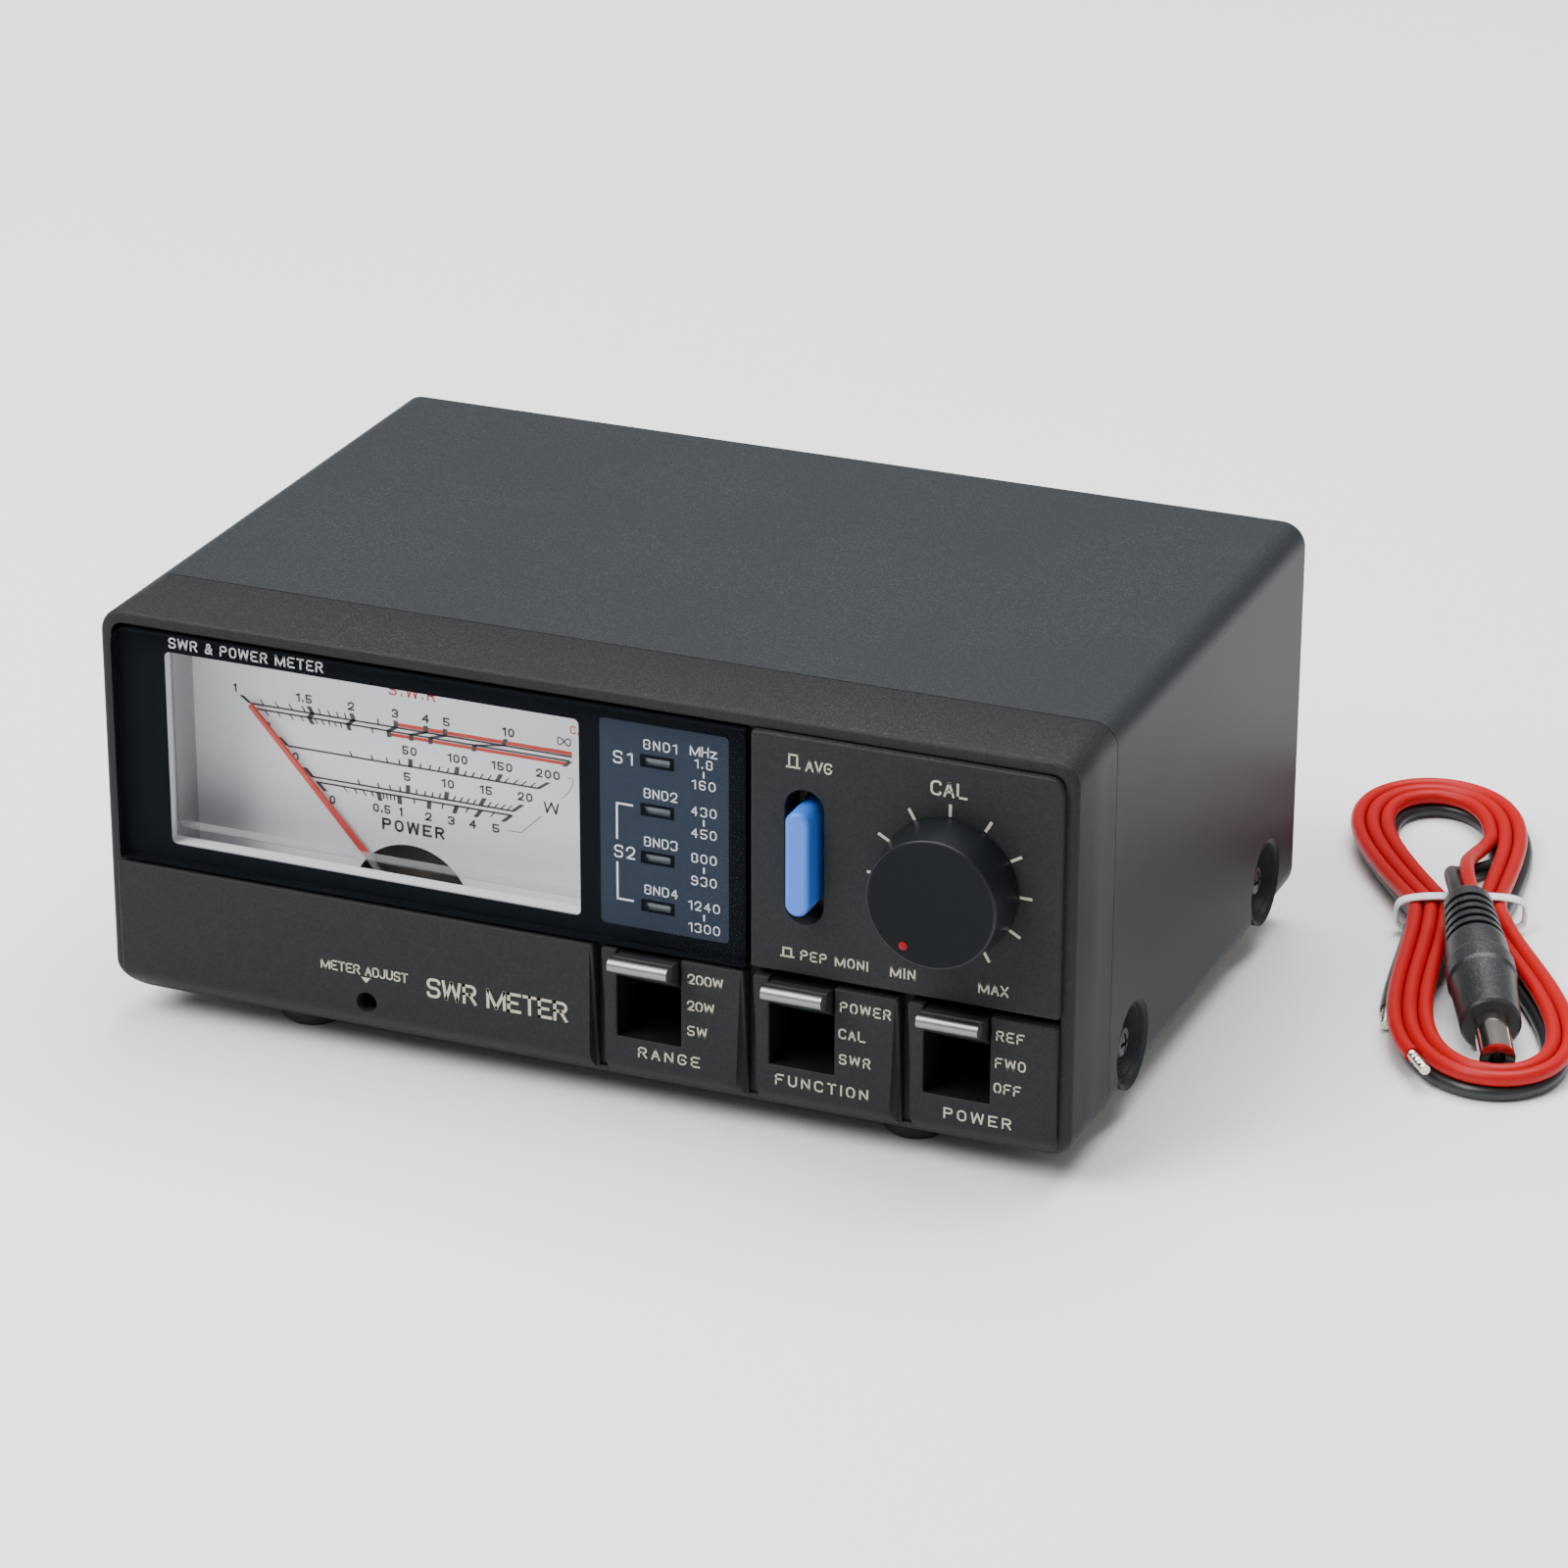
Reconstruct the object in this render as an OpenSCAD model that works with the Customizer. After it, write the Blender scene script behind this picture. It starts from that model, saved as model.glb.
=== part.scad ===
// SWR and power meter: moulded front bezel, folded steel case, moving-coil meter,
// two sensor couplers with their sockets, and the switches and knob on the front.
// Frame: X to the right, Y to the back, Z up; origin on the floor under the middle.

/* [Case] */
// Width of the case
case_w = 155; // [155:1:160]
// Height of the case without its feet
case_h = 62.8; // [62.8:0.1:66]
// Depth of the case, bezel rim to rear edge of the cover
case_d = 103; // [103:1:110]
// Radius of the two top corners
corner_top = 3.8; // [3:0.1:4.5]
// Radius of the two bottom corners
corner_bottom = 5; // [4:0.5:6]
// Thickness of the steel cover, base and rear panel
sheet_t = 1.0; // [0.8:0.1:1.2]

/* [Bezel] */
// Depth of the moulded bezel, rim to seam
bezel_d = 16.3; // [16:0.1:18]
// Width of the bezel's rim
rim_w = 2.0; // [1.6:0.1:2.2]
// How far the raised pads and the clear plate stand in front of the rim
pad_rise = 1.1; // [0.8:0.1:1.4]
// Depth of the channel between the rim and the pads
channel_depth = 1.6; // [1.6:0.1:2]

/* [Feet] */
// Height of a rubber foot
foot_h = 4; // [3:0.5:6]
// Radius of a rubber foot
foot_r = 5; // [4.5:0.5:6]

/* [Meter] */
// Sideways place of the pointer's pivot
pivot_x = -34.2; // [-34.4:0.1:-34]
// Height of the pointer's pivot above the bottom of the case
pivot_z = 15.3; // [15.2:0.1:15.6]
// Length of the pointer from its pivot
pointer_len = 39.1; // [36:0.1:39.5]
// Angle of the resting pointer, left of upright
pointer_rest = 41.5; // [40:0.5:43]
// Depth of the dial's face behind the bezel rim
dial_y = 15; // [15:0.1:15.4]

/* [Controls] */
// Radius of the calibration knob at its foot
knob_r = 10.6; // [10:0.1:11]
// How far the knob's face stands in front of the rim
knob_front = 8.8; // [8.4:0.1:9.5]
// Sideways places of the three levers
lever_x = [12.0, 36.2, 60.25];
// Radius from a lever's pivot to the front of its bright lip
lever_reach = 18.9; // [18.5:0.1:19]
// Tilt of a lever above level in its top position
lever_tilt = 20; // [19:0.5:20]

/* [Sockets] */
// Outer radius of the 5/8-24 socket threads
thread_r = 7.94; // [7.9:0.01:7.95]
// How far the sockets reach behind the case
socket_out = 17; // [16:0.5:18]
// Spacing between neighbouring sockets
socket_gap = 36; // [34:1:37]

/* [Supply lead] */
// Outer diameter of each of the lead's two wires
wire_d = 2.4; // [2:0.1:2.6]
// Number of turns in the tied hank
turns = 3; // [2:1:3]

/* [Hidden] */
$fn = 48;
faceted = 32;                                  // sides of a rounded corner inside a hull
case_y = (knob_front - case_d - socket_out) / 2; // the bezel rim, so that the box is centred
half_w = case_w / 2;
panel_y = case_d - 1;                          // outer face of the rear panel
front_wall = 4.5;                              // inner face of the bezel's front wall
slack = 0.2;                                   // sliding gap between sheet parts

// Places of the raised pads: [left, right, bottom, top]
cal_pad = [28.2, 75.7, 23.6, 60.6];
lower_pads = [[-75.8, 3.1], [4.4, 27.1], [28.5, 51.2], [52.6, 75.5]];
lower_top = 22.3;
pad_corner = 2.6;
plate_box = [-75.4, 27.3, 22.8, 60.2];         // clear plate
dial_box = [-70.3, 1.8, 17.5, 59];
window_box = [-67.4, 0.2, 25.6, 56.8];         // opening in the black print
strip_box = [3.6, 23.7, 25.4, 57.7];           // band label strip
led_x = [9.95, 15.2];
led_z = [52.1, 44.4, 36.85, 29.15];
slot_at = [36.5, 42.2];                        // middle of the button's slot
slot_size = [6, 21];
knob_at = [58.74, 41.75];
adjust_z = 6.1;                                // height of the zero adjuster
lever_w = 9.4;
lever_pivot = [12.3, 15.4];                    // [y, z] of the levers' common pivot
lever_travel = 39;
window_w = 10.2;                               // width of a lever's window
window_z = 8.4;
socket_x = [for (i = [-1.5, -0.5, 0.5, 1.5]) i * socket_gap];
socket_z = 37;
socket_end = case_d + socket_out;
foot_at = [49.5, 11.4, 90];                    // [x, front y, rear y]
flange_x = 73.5;                               // outer face of the base's side flanges
dimple_at = [[26.5, 8], [89, 8]];              // [y, z] of the cover screws' dimples
bezel_screw_z = 6.9;                           // height of the bezel's side screws
panel_screw = [36, 7];                         // [x, z] of the rear panel's screws
jack_at = [62, 12];
band_at = [0, 12];

module at_case() translate([0, case_y, foot_h]) children();

// A flat shape in X and Z, thickened from y0 back to y1
module slab_y(y0, y1) translate([0, y1, 0]) rotate([90, 0, 0]) linear_extrude(y1 - y0) children();

// A flat shape in Y and Z, thickened from x0 to x1
module slab_x(x0, x1) translate([x0, 0, 0]) rotate([90, 0, 90]) linear_extrude(x1 - x0) children();

// A round bar along Y, and one along X
module rod_y(x, z, r, y0, y1) translate([x, y1, z]) rotate([90, 0, 0]) cylinder(r = r, h = y1 - y0);
module rod_x(y, z, r, x0, x1) translate([x0, y, z]) rotate([0, 90, 0]) cylinder(r = r, h = x1 - x0);

// A block from its two corners
module block(a, b) translate(a) cube(b - a);

// A rectangle with its own radius at the top and bottom corners
module rounded(x0, x1, z0, z1, top, bottom) {
    mid = (z0 + z1) / 2;
    translate([x0, z0 + bottom]) square([x1 - x0, mid - z0 - bottom]);
    translate([x0, mid]) square([x1 - x0, z1 - top - mid]);
    translate([x0 + bottom, z0]) square([x1 - x0 - 2 * bottom, mid - z0]);
    translate([x0 + top, mid]) square([x1 - x0 - 2 * top, z1 - mid]);
    for (x = [x0 + top, x1 - top]) translate([x, z1 - top]) circle(top);
    for (x = [x0 + bottom, x1 - bottom]) translate([x, z0 + bottom]) circle(bottom);
}

module case_outline(inset = 0)
    rounded(-half_w + inset, half_w - inset, inset, case_h - inset,
            corner_top - min(inset, 2.8), corner_bottom - min(inset, 4));

module rect(b) translate([b[0], b[2]]) square([b[1] - b[0], b[3] - b[2]]);

// A raised pad with eased edges; foot_back tilts its lowest 5 mm back to the channel
module pad(b, foot_back) {
    ease = 0.6;
    hull() {
        slab_y(-pad_rise, channel_depth + 0.4)
            rounded(b[0] + ease, b[1] - ease, b[2] + foot_back + ease, b[3] - ease,
                    pad_corner - ease, pad_corner - ease, $fn = faceted);
        slab_y(-pad_rise + ease, channel_depth + 0.4)
            rounded(b[0], b[1], b[2] + foot_back, b[3], pad_corner, pad_corner, $fn = faceted);
        slab_y(channel_depth, channel_depth + 0.4) rect([b[0], b[1], b[2], b[3] - pad_corner]);
    }
}

module lever_window(x) block([x - window_w / 2, -3, window_z], [x + window_w / 2, front_wall + 1, 23.2]);

module front_bezel() color("#46474a") at_case() difference() {
    union() {
        slab_y(0, bezel_d) difference() { case_outline(); case_outline(rim_w); }
        slab_y(channel_depth, front_wall) case_outline(rim_w - 0.5);
        intersection() {                       // spigot that the cover slips over
            slab_y(bezel_d - 3, bezel_d + 4) difference() { case_outline(1.2); case_outline(2.4); }
            block([-80, 0, 20], [80, 30, 70]);
        }
        pad(cal_pad, 0);
        for (p = lower_pads) pad([p[0], p[1], 1.2, lower_top], 5);
        for (s = [-1, 1]) block([min(s * flange_x, s * 75.7), 9, 5.5], [max(s * flange_x, s * 75.7), 16, 13.5]);
        for (s = [-1, 1]) translate([s * foot_at[0], foot_at[1], 1]) cylinder(r = 3.5, h = 6);
    }
    slab_y(0, front_wall + 1) rect([-69.9, 1.9, 24, 59]);
    for (z = led_z) block([led_x[0] - 0.4, 0, z - 1.4], [led_x[1] + 0.4, front_wall + 1, z + 1.4]);
    for (x = lever_x) lever_window(x);
    slab_y(-3, front_wall + 1) rounded(slot_at[0] - 3, slot_at[0] + 3, slot_at[1] - slot_size[1] / 2,
                                       slot_at[1] + slot_size[1] / 2, 2.999, 2.999);
    rod_y(knob_at[0], knob_at[1], 3.6, -3, front_wall + 1);
    rod_y(pivot_x, adjust_z, 1.65, -3, front_wall + 1);
    for (s = [-1, 1]) {
        translate([s * foot_at[0], foot_at[1], -1]) cylinder(r = 1.5, h = 7);
        rod_x(12.5, bezel_screw_z, 1.25, s * 74.3 - 1.2, s * 74.3 + 1.2);
    }
}

module meter_plate() color([0.85, 0.9, 0.92, 0.3]) at_case()
    slab_y(-pad_rise, 1.4) rounded(plate_box[0], plate_box[1], plate_box[2], plate_box[3], 0.8, 0.8);

module plate_mask() color("#1c2125") at_case() slab_y(1.4, 1.55) difference() {
    rect(plate_box + [0.2, -0.2, 0.2, -0.2]);
    rect(window_box);
    rect(strip_box);
}

module band_strip() color("#3b4756") at_case() slab_y(1.4, 1.55) difference() {
    rect(strip_box + [0.05, -0.05, 0.05, -0.05]);
    for (z = led_z) rect([led_x[0], led_x[1], z - 0.95, z + 0.95]);
}

module led_lenses() color("#7d8284") at_case()
    for (z = led_z) block([led_x[0] + 0.2, 1.7, z - 0.85], [led_x[1] - 0.2, 4.6, z + 0.85]);

module led_bodies() color("#e8e6da") at_case()
    for (z = led_z) block([led_x[0], 4.6, z - 1.2], [led_x[1], 8, z + 1.2]);

module led_board() color("#2f6b3c") at_case() block([5, 8, 26], [23, 9.6, 58]);

// A drawn dimple round a cover screw: a dish from the outer face inwards, along X
module dimple_shape() rotate_extrude()
    polygon([[7, 0], [6.2, -0.5], [5.2, -3], [1.5, -3], [1.5, -4], [4.6, -4], [5.6, -1.2], [7, -1]]);

module cover_side_at(s, d) translate([s * half_w, d[0], d[1]]) rotate([0, s * 90, 0]) children();

module top_cover() color("#4b5054") at_case() {
    difference() {
        slab_y(bezel_d, case_d) intersection() {
            difference() { case_outline(); case_outline(sheet_t); }
            translate([-80, 0.5]) square([160, 80]);
        }
        block([-flange_x - 0.2, 0, -1], [flange_x + 0.2, case_d + 1, 5]);
        for (s = [-1, 1], d = dimple_at) cover_side_at(s, d)
            translate([0, 0, -3]) cylinder(r = 6.9, h = 5);
    }
    for (s = [-1, 1], d = dimple_at) cover_side_at(s, d) dimple_shape();
}

module chassis_base() color("#8d9194") at_case() difference() {
    union() {
        block([-flange_x, bezel_d, 0.3], [flange_x, panel_y - sheet_t, 0.3 + sheet_t]);
        for (s = [-1, 1]) block([min(s * flange_x, s * (flange_x - 1.2)), 8.9, 1.2],
                                [max(s * flange_x, s * (flange_x - 1.2)), 99, 16]);
        for (x = [-40, 40]) block([x - 8, 98.8, 1.2], [x + 8, panel_y - sheet_t, 12]);
    }
    block([-80, 0, 0], [80, bezel_d, 3.5]);
    for (s = [-1, 1]) {
        for (d = dimple_at) rod_x(d[0], d[1], 1.5, s * 73 - 3, s * 73 + 3);
        rod_x(12.5, bezel_screw_z, 1.25, s * 73 - 3, s * 73 + 3);
        rod_y(s * panel_screw[0], panel_screw[1], 1.25, 98, 110);
        translate([s * foot_at[0], foot_at[2], -1]) cylinder(r = 1.5, h = 4);
    }
    for (i = [-6 : 6]) block([i * 7 - 1.2, 56, -1], [i * 7 + 1.2, 80, 2]);
}

module rear_panel() color("#44494c") at_case() difference() {
    slab_y(panel_y - sheet_t, panel_y) case_outline(1.2);
    block([-80, 90, -1], [80, 110, 1.35]);
    for (x = socket_x) rod_y(x, socket_z, 7.9, 90, 110);
    rod_y(jack_at[0], jack_at[1], 4, 90, 110);
    block([band_at[0] - 7, 90, band_at[1] - 2.3], [band_at[0] + 7, 110, band_at[1] + 2.3]);
    for (x = socket_x, i = [-1, 1], k = [-1, 1]) rod_y(x + i * 9.1, socket_z + k * 9.1, 1.5, 90, 110);
    for (s = [-1, 1]) rod_y(s * panel_screw[0], panel_screw[1], 1.5, 90, 110);
}

module feet() color("#1b1c1e") at_case() for (x = [-1, 1], y = [foot_at[1], foot_at[2]])
    translate([x * foot_at[0], y, -foot_h]) difference() {
        top = foot_h + (y < bezel_d ? 0 : 0.3);
        rotate_extrude() polygon([[0, 0], [foot_r - 0.8, 0], [foot_r, 0.8], [foot_r + 0.3, top], [0, top]]);
        translate([0, 0, -1]) cylinder(r = 1.5, h = 8);
        translate([0, 0, -1]) cylinder(r = 3.2, h = 3);
    }

module foot_screws() color("#b8babc") at_case() for (x = [-1, 1], y = [foot_at[1], foot_at[2]])
    translate([x * foot_at[0], y, -foot_h]) {
        translate([0, 0, 2]) cylinder(r = 1.5, h = 7);
        translate([0, 0, 0.4]) cylinder(r = 2.9, h = 1.6);
    }

// Pan-head screw along -Z from its seat at z = 0, with a cross recess
module pan_screw(head_r, head_h, shank_r, shank_l) difference() {
    union() {
        translate([0, 0, -shank_l]) cylinder(r = shank_r, h = shank_l + 0.2);
        rotate_extrude() polygon([[0, 0], [head_r, 0], [head_r, head_h * 0.45],
                                  [head_r * 0.75, head_h * 0.85], [head_r * 0.3, head_h], [0, head_h]]);
    }
    for (a = [0, 90]) rotate([0, 0, a])
        block([-head_r * 0.55, -0.3, head_h * 0.35], [head_r * 0.55, 0.3, head_h + 1]);
}

module cover_screws() color("#3a3d40") at_case()
    for (s = [-1, 1], d = dimple_at) cover_side_at(s, d) translate([0, 0, -3]) pan_screw(2.8, 1.9, 1.5, 6);

// Two through the base's side flanges into the bezel, two through the rear panel
module bezel_screws() color("#b8babc") at_case() for (s = [-1, 1]) {
    translate([s * 72.3, 12.5, bezel_screw_z]) rotate([0, -s * 90, 0]) pan_screw(2.4, 1.6, 1.25, 3);
    translate([s * panel_screw[0], panel_y, panel_screw[1]]) rotate([-90, 0, 0])
        pan_screw(2.4, 1.6, 1.25, 4);
}

// Meter ------------------------------------------------------------------------
module meter_case() color("#e4e6e4") at_case() difference() {
    union() {
        slab_y(1.7, front_wall + 0.5) rect([-69.7, 1.7, 24.2, 58.8]);
        slab_y(front_wall, dial_y + 2.4) rect([-71.5, 3.0, 9.5, 60.2]);
        rod_y(pivot_x, adjust_z + 0.2, 3.9, 7, 9.7);
    }
    slab_y(1, 6) rect([-68.2, 0.9, 25.6, 57.8]);
    slab_y(4, 6) rect([-69, 1.1, 24.9, 58.2]);
    slab_y(front_wall + 1.2, dial_y + 0.8) rect(dial_box);
    rod_y(pivot_x, pivot_z, 12.9, 9.8, dial_y + 3);
    rod_y(pivot_x, adjust_z, 1.55, 0, 20);
}

module dial_plate() color("#c9ccce") at_case() slab_y(dial_y, dial_y + 0.8) difference() {
    rect(dial_box);
    translate([pivot_x, pivot_z]) circle(10);
}

module magnet_yoke() color("#55585c") at_case() difference() {
    rod_y(pivot_x, pivot_z, 12.8, dial_y + 2.4, 32.4);
    rod_y(pivot_x, pivot_z, 9.5, dial_y + 3.2, 40);
    rod_y(pivot_x, pivot_z, 1.3, 15, 40);
}

module magnet_core() color("#7a7d80") at_case() rod_y(pivot_x, pivot_z, 7, 20.4, 32.4);

// Brass struts that hold the core in the ring
module core_struts() intersection() {
    difference() {
        block([pivot_x - 1.4, 22, pivot_z - 12], [pivot_x + 1.4, 31, pivot_z + 12]);
        rod_y(pivot_x, pivot_z, 7, 20, 33);
    }
    rod_y(pivot_x, pivot_z, 9.5, 20, 33);
}

module jewel_bridges() color("#b79a4c") at_case() {
    difference() {
        union() {
            block([pivot_x - 12.2, 10.6, pivot_z - 1.6], [pivot_x + 12.2, 11.8, pivot_z + 1.6]);
            for (s = [-1, 1]) block([pivot_x + s * 11.3 - 0.9, 11.7, pivot_z - 1.6],
                                    [pivot_x + s * 11.3 + 0.9, dial_y + 2.4, pivot_z + 1.6]);
            rod_y(pivot_x, pivot_z, 1.6, 10.2, 13);
            block([pivot_x - 12, 36, pivot_z - 2.5], [pivot_x + 12, 37.4, pivot_z + 2.5]);
            for (s = [-1, 1]) block([pivot_x + s * 11 - 1, 32.4, pivot_z - 2.5],
                                    [pivot_x + s * 11 + 1, 36.1, pivot_z + 2.5]);
            rod_y(pivot_x, pivot_z, 1.6, 35.2, 38);
        }
        rod_y(pivot_x, pivot_z, 0.65, 12, 36.5);
    }
    core_struts();
}

// Everything on the pointer's body is drawn upright and turned to its resting angle
module on_pivot() at_case() translate([pivot_x, 0, pivot_z]) rotate([0, -pointer_rest, 0]) children();

module moving_coil() color("#a0522d") on_pivot() {
    difference() {
        block([-9, 18.6, -0.8], [9, 34.2, 0.8]);
        block([-7.45, 19.8, -2], [7.45, 33, 2]);
    }
    translate([0, 18.6, 0]) rotate([90, 0, 0]) cylinder(r = 0.6, h = 6.2);
    translate([0, 36.1, 0]) rotate([90, 0, 0]) cylinder(r = 0.6, h = 1.95);
}

module pointer_hub() color("#3a3c40") on_pivot() difference() {
    union() {
        rod_y(0, 0, 1.7, 13.3, 14.7);
        slab_y(13.6, 14.2) polygon([[-0.5, 0], [-0.42, 10.2], [0.42, 10.2], [0.5, 0]]);
        for (a = [90, 180, 270]) rotate([0, a, 0]) {
            block([-0.35, 13.6, 0], [0.35, 14.2, 6]);
            translate([0, 13.9, 4.6]) cylinder(r = 0.6, h = 1.6);
        }
    }
    rod_y(0, 0, 0.6, 12, 16);
}

module pointer() color("#d65a4c") on_pivot() slab_y(13.6, 14.2)
    polygon([[-0.42, 10.2], [-0.3, pointer_len], [0.3, pointer_len], [0.42, 10.2]]);

// Flat spiral strip from the inner radius out to the outer one
module spiral(r_in, r_out, rounds, w) {
    steps = 24 * rounds;
    function at(i, d) = let (a = i * 15, r = r_in + (r_out - r_in) * i / steps + d) [r * cos(a), r * sin(a)];
    polygon(concat([for (i = [0 : steps]) at(i, 0)], [for (i = [steps : -1 : 0]) at(i, w)]));
}

module hairsprings() color("#b98a4a") at_case() for (y = [16.2, 34.6]) slab_y(y, y + 0.5)
    translate([pivot_x, pivot_z]) spiral(1.3, 4.4, 3, 0.18);

module zero_adjuster() color("#26282b") at_case() translate([pivot_x, 0, adjust_z]) difference() {
    union() {
        rod_y(0, 0, 2.2, 4.8, 6.7);
        rod_y(0, 0, 1.5, 6.6, 10.3);
        rod_y(0, 0.8, 0.5, 10.2, 12.9);
    }
    block([-3, 4, -0.35], [3, 5.6, 0.35]);
}

// Fork that turns on the front jewel's boss; the adjuster's pin swings it
module zero_arm() color("#9a9da0") at_case() translate([pivot_x, 0, pivot_z]) slab_y(12.1, 12.7) difference() {
    union() {
        circle(3);
        translate([-1.6, -9.3]) square([3.2, 7.3]);
    }
    circle(1.65);
    translate([-0.85, -10]) square([1.7, 3]);
}

module meter_lamps() color("#f4e9c0") at_case() for (x = [-58, -10]) translate([x, 9, 57.4]) {
    cylinder(r = 1.4, h = 1.6);
    sphere(r = 1.4);
}

// Front controls -----------------------------------------------------------------
module dot_spot(y0, y1) rotate([0, -150, 0]) rod_y(0, 8.0, 0.65, y0, y1);

module cal_knob() color("#1a1d21") at_case() translate([knob_at[0], 0, knob_at[1]]) difference() {
    rotate([90, 0, 0]) rotate_extrude() polygon([[3, 3.6], [5, 3.6], [5, 5.2], [8.9, 5.2], [9.2, 1.5], [knob_r, 1.5],
                              [10.4, 4], [9.85, knob_front - 0.9], [9.6, knob_front - 0.35],
                              [9.2, knob_front - 0.15], [5, knob_front - 0.03], [0, knob_front],
                              [0, 7.3], [3, 7.3]]);
    dot_spot(-knob_front - 1, -knob_front + 0.35);
}

module knob_dot() color("#a01010") at_case() translate([knob_at[0], 0, knob_at[1]])
    dot_spot(-knob_front + 0.06, -knob_front + 0.35);

module pot_shaft() color("#c9c9c4") at_case() rod_y(knob_at[0], knob_at[1], 3, -7.3, 12);

module pot_body() color("#7f8487") at_case() difference() {
    union() {
        rod_y(knob_at[0], knob_at[1], 8, front_wall, 13.5);
        rod_y(knob_at[0], knob_at[1], 3.6, -3.3, front_wall + 1);
        for (i = [-1, 0, 1]) block([knob_at[0] + i * 5 - 0.6, 8, knob_at[1] - 13], [knob_at[0] + i * 5 + 0.6, 8.8, knob_at[1] - 5]);
    }
    rod_y(knob_at[0], knob_at[1], 3.05, -5, 12.4);
}

module pot_nut() color("#b8babc") at_case() slab_y(-3.1, -pad_rise) translate(knob_at) difference() {
    circle(5.6, $fn = 6);
    circle(3.6);
}

module button_shape(w, h) rounded(-w / 2, w / 2, -h / 2, h / 2, w / 2 - 0.001, w / 2 - 0.001);

module avg_button() color("#5a8be0") at_case() translate([slot_at[0], 0, slot_at[1]]) {
    difference() {
        slab_y(-4.4, 6.2) button_shape(3.8, 16.2);
        translate([-3, -34.4 + 0.9, 0]) rotate([0, 90, 0]) cylinder(r = 30, h = 6, $fn = 96);
    }
    block([-1.4, 6.2, -1.4], [1.4, 13.5, 1.4]);
}

module avg_guide() color("#6a6d70") at_case() slab_y(front_wall, front_wall + 0.8) difference() {
    rect([30.5, 42.5, 28.5, 55.5]);
    translate(slot_at) button_shape(4.5, 16.9);
}

module avg_switch() color("#303236") at_case() difference() {
    block([slot_at[0] - 4, 10, slot_at[1] - 7], [slot_at[0] + 4, 28, slot_at[1] + 7]);
    block([slot_at[0] - 1.8, 9, slot_at[1] - 1.8], [slot_at[0] + 1.8, 18, slot_at[1] + 1.8]);
}

// Lever drawn level, pivot at the origin, reaching to -Y, then tilted up to its rest
module on_lever(x) at_case() translate([x, lever_pivot[0], lever_pivot[1]])
    rotate([-lever_tilt, 0, 0]) children();

module lever(x) color("#1b1d20") on_lever(x) difference() {
    union() {
        slab_x(-lever_w / 2, lever_w / 2) polygon([[0, -4], [0, 4], [-lever_reach + 2.2, 1.3],
                                                   [-lever_reach + 2.2, -1.3]]);
        rod_x(0, 0, 4, -lever_w / 2, lever_w / 2);
        block([-1.5, 0, -0.9], [1.5, 7.5, 0.9]);
    }
    rod_x(0, 0, 1.05, -lever_w, lever_w);
}

module lever_lip(x) color("#d4d7da") on_lever(x) {
    rod_x(-lever_reach + 1.05, 0, 1.05, -lever_w / 2, lever_w / 2);
    block([-lever_w / 2, -lever_reach + 1.05, -1.05], [lever_w / 2, -lever_reach + 2.2, 1.05]);
}

module range_lever() lever(lever_x[0]);
module function_lever() lever(lever_x[1]);
module power_lever() lever(lever_x[2]);
module lever_lips_range() lever_lip(lever_x[0]);
module lever_lips_function() lever_lip(lever_x[1]);
module lever_lips_power() lever_lip(lever_x[2]);

module lever_pins() color("#b8babc") at_case() for (x = lever_x)
    rod_x(lever_pivot[0], lever_pivot[1], 1, x - 6.6, x + 6.6);

module lever_switches() color("#35383b") at_case() for (x = lever_x) difference() {
    union() {
        for (s = [-1, 1]) block([x + s * 5.9 - 0.7, front_wall, 6.5], [x + s * 5.9 + 0.7, 23, 25]);
        block([x - 6.6, 22, 6.5], [x + 6.6, 28, 25]);
    }
    rod_x(lever_pivot[0], lever_pivot[1], 1, x - 8, x + 8);
}

module control_board() color("#2f6b3c") at_case() block([4.5, 28, 6], [71.6, 29.6, 58]);

module board_parts() color("#26282b") at_case() {
    for (x = [12, 26]) block([x, 29.6, 40], [x + 8, 32, 50]);
    for (x = [44, 54, 64]) translate([x, 29.6, 46]) rotate([-90, 0, 0]) cylinder(r = 3.2, h = 8);
    for (i = [0 : 5]) rod_x(30.6, 14 + i * 3.6, 1, 38, 45);
    block([52, 29.6, 12], [66, 34, 22]);
}

// Sensor couplers ------------------------------------------------------------------
module sensor_boxes() color("#c4c6c4") at_case() for (s = [0, 2]) {
    x0 = socket_x[s] - 13;
    x1 = socket_x[s + 1] + 13;
    difference() {
        block([x0, 72, socket_z - 14], [x1, panel_y - sheet_t, socket_z + 14]);
        block([x0 + 1, 73, socket_z - 13], [x1 - 1, 110, socket_z + 13]);
    }
}

module sensor_lines() color("#c8a24a") at_case() {
    for (s = [0, 2]) difference() {
        union() {
            rod_x(88, socket_z, s == 0 ? 1.5 : 3, socket_x[s] - 3, socket_x[s + 1] + 3);
            for (i = [0, 1]) rod_y(socket_x[s + i], socket_z, 1.5, 86, 97);
        }
    }
    for (i = [-8, 4]) block([socket_x[2] + 18 + i, 79, socket_z - 3], [socket_x[2] + 22 + i, 80, socket_z + 3]);
}

module sensor_toroid() color("#4a4038") at_case() difference() {
    rod_x(88, socket_z, 7, -40, -32);
    rod_x(88, socket_z, 1.5, -41, -31);
}

module flange_holes(x) for (i = [-1, 1], k = [-1, 1]) rod_y(x + i * 9.1, socket_z + k * 9.1, 1.5, 90, 110);

module socket(x, bore) difference() {
    union() {
        slab_y(panel_y, panel_y + 2.4)
            rounded(x - 12.7, x + 12.7, socket_z - 12.7, socket_z + 12.7, 2, 2);
        rod_y(x, socket_z, thread_r, panel_y + 2.3, socket_end);
        rod_y(x, socket_z, 7.9, panel_y - 3, panel_y + 0.1);
    }
    rod_y(x, socket_z, bore, 90, socket_end + 1);
    flange_holes(x);
}

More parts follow.
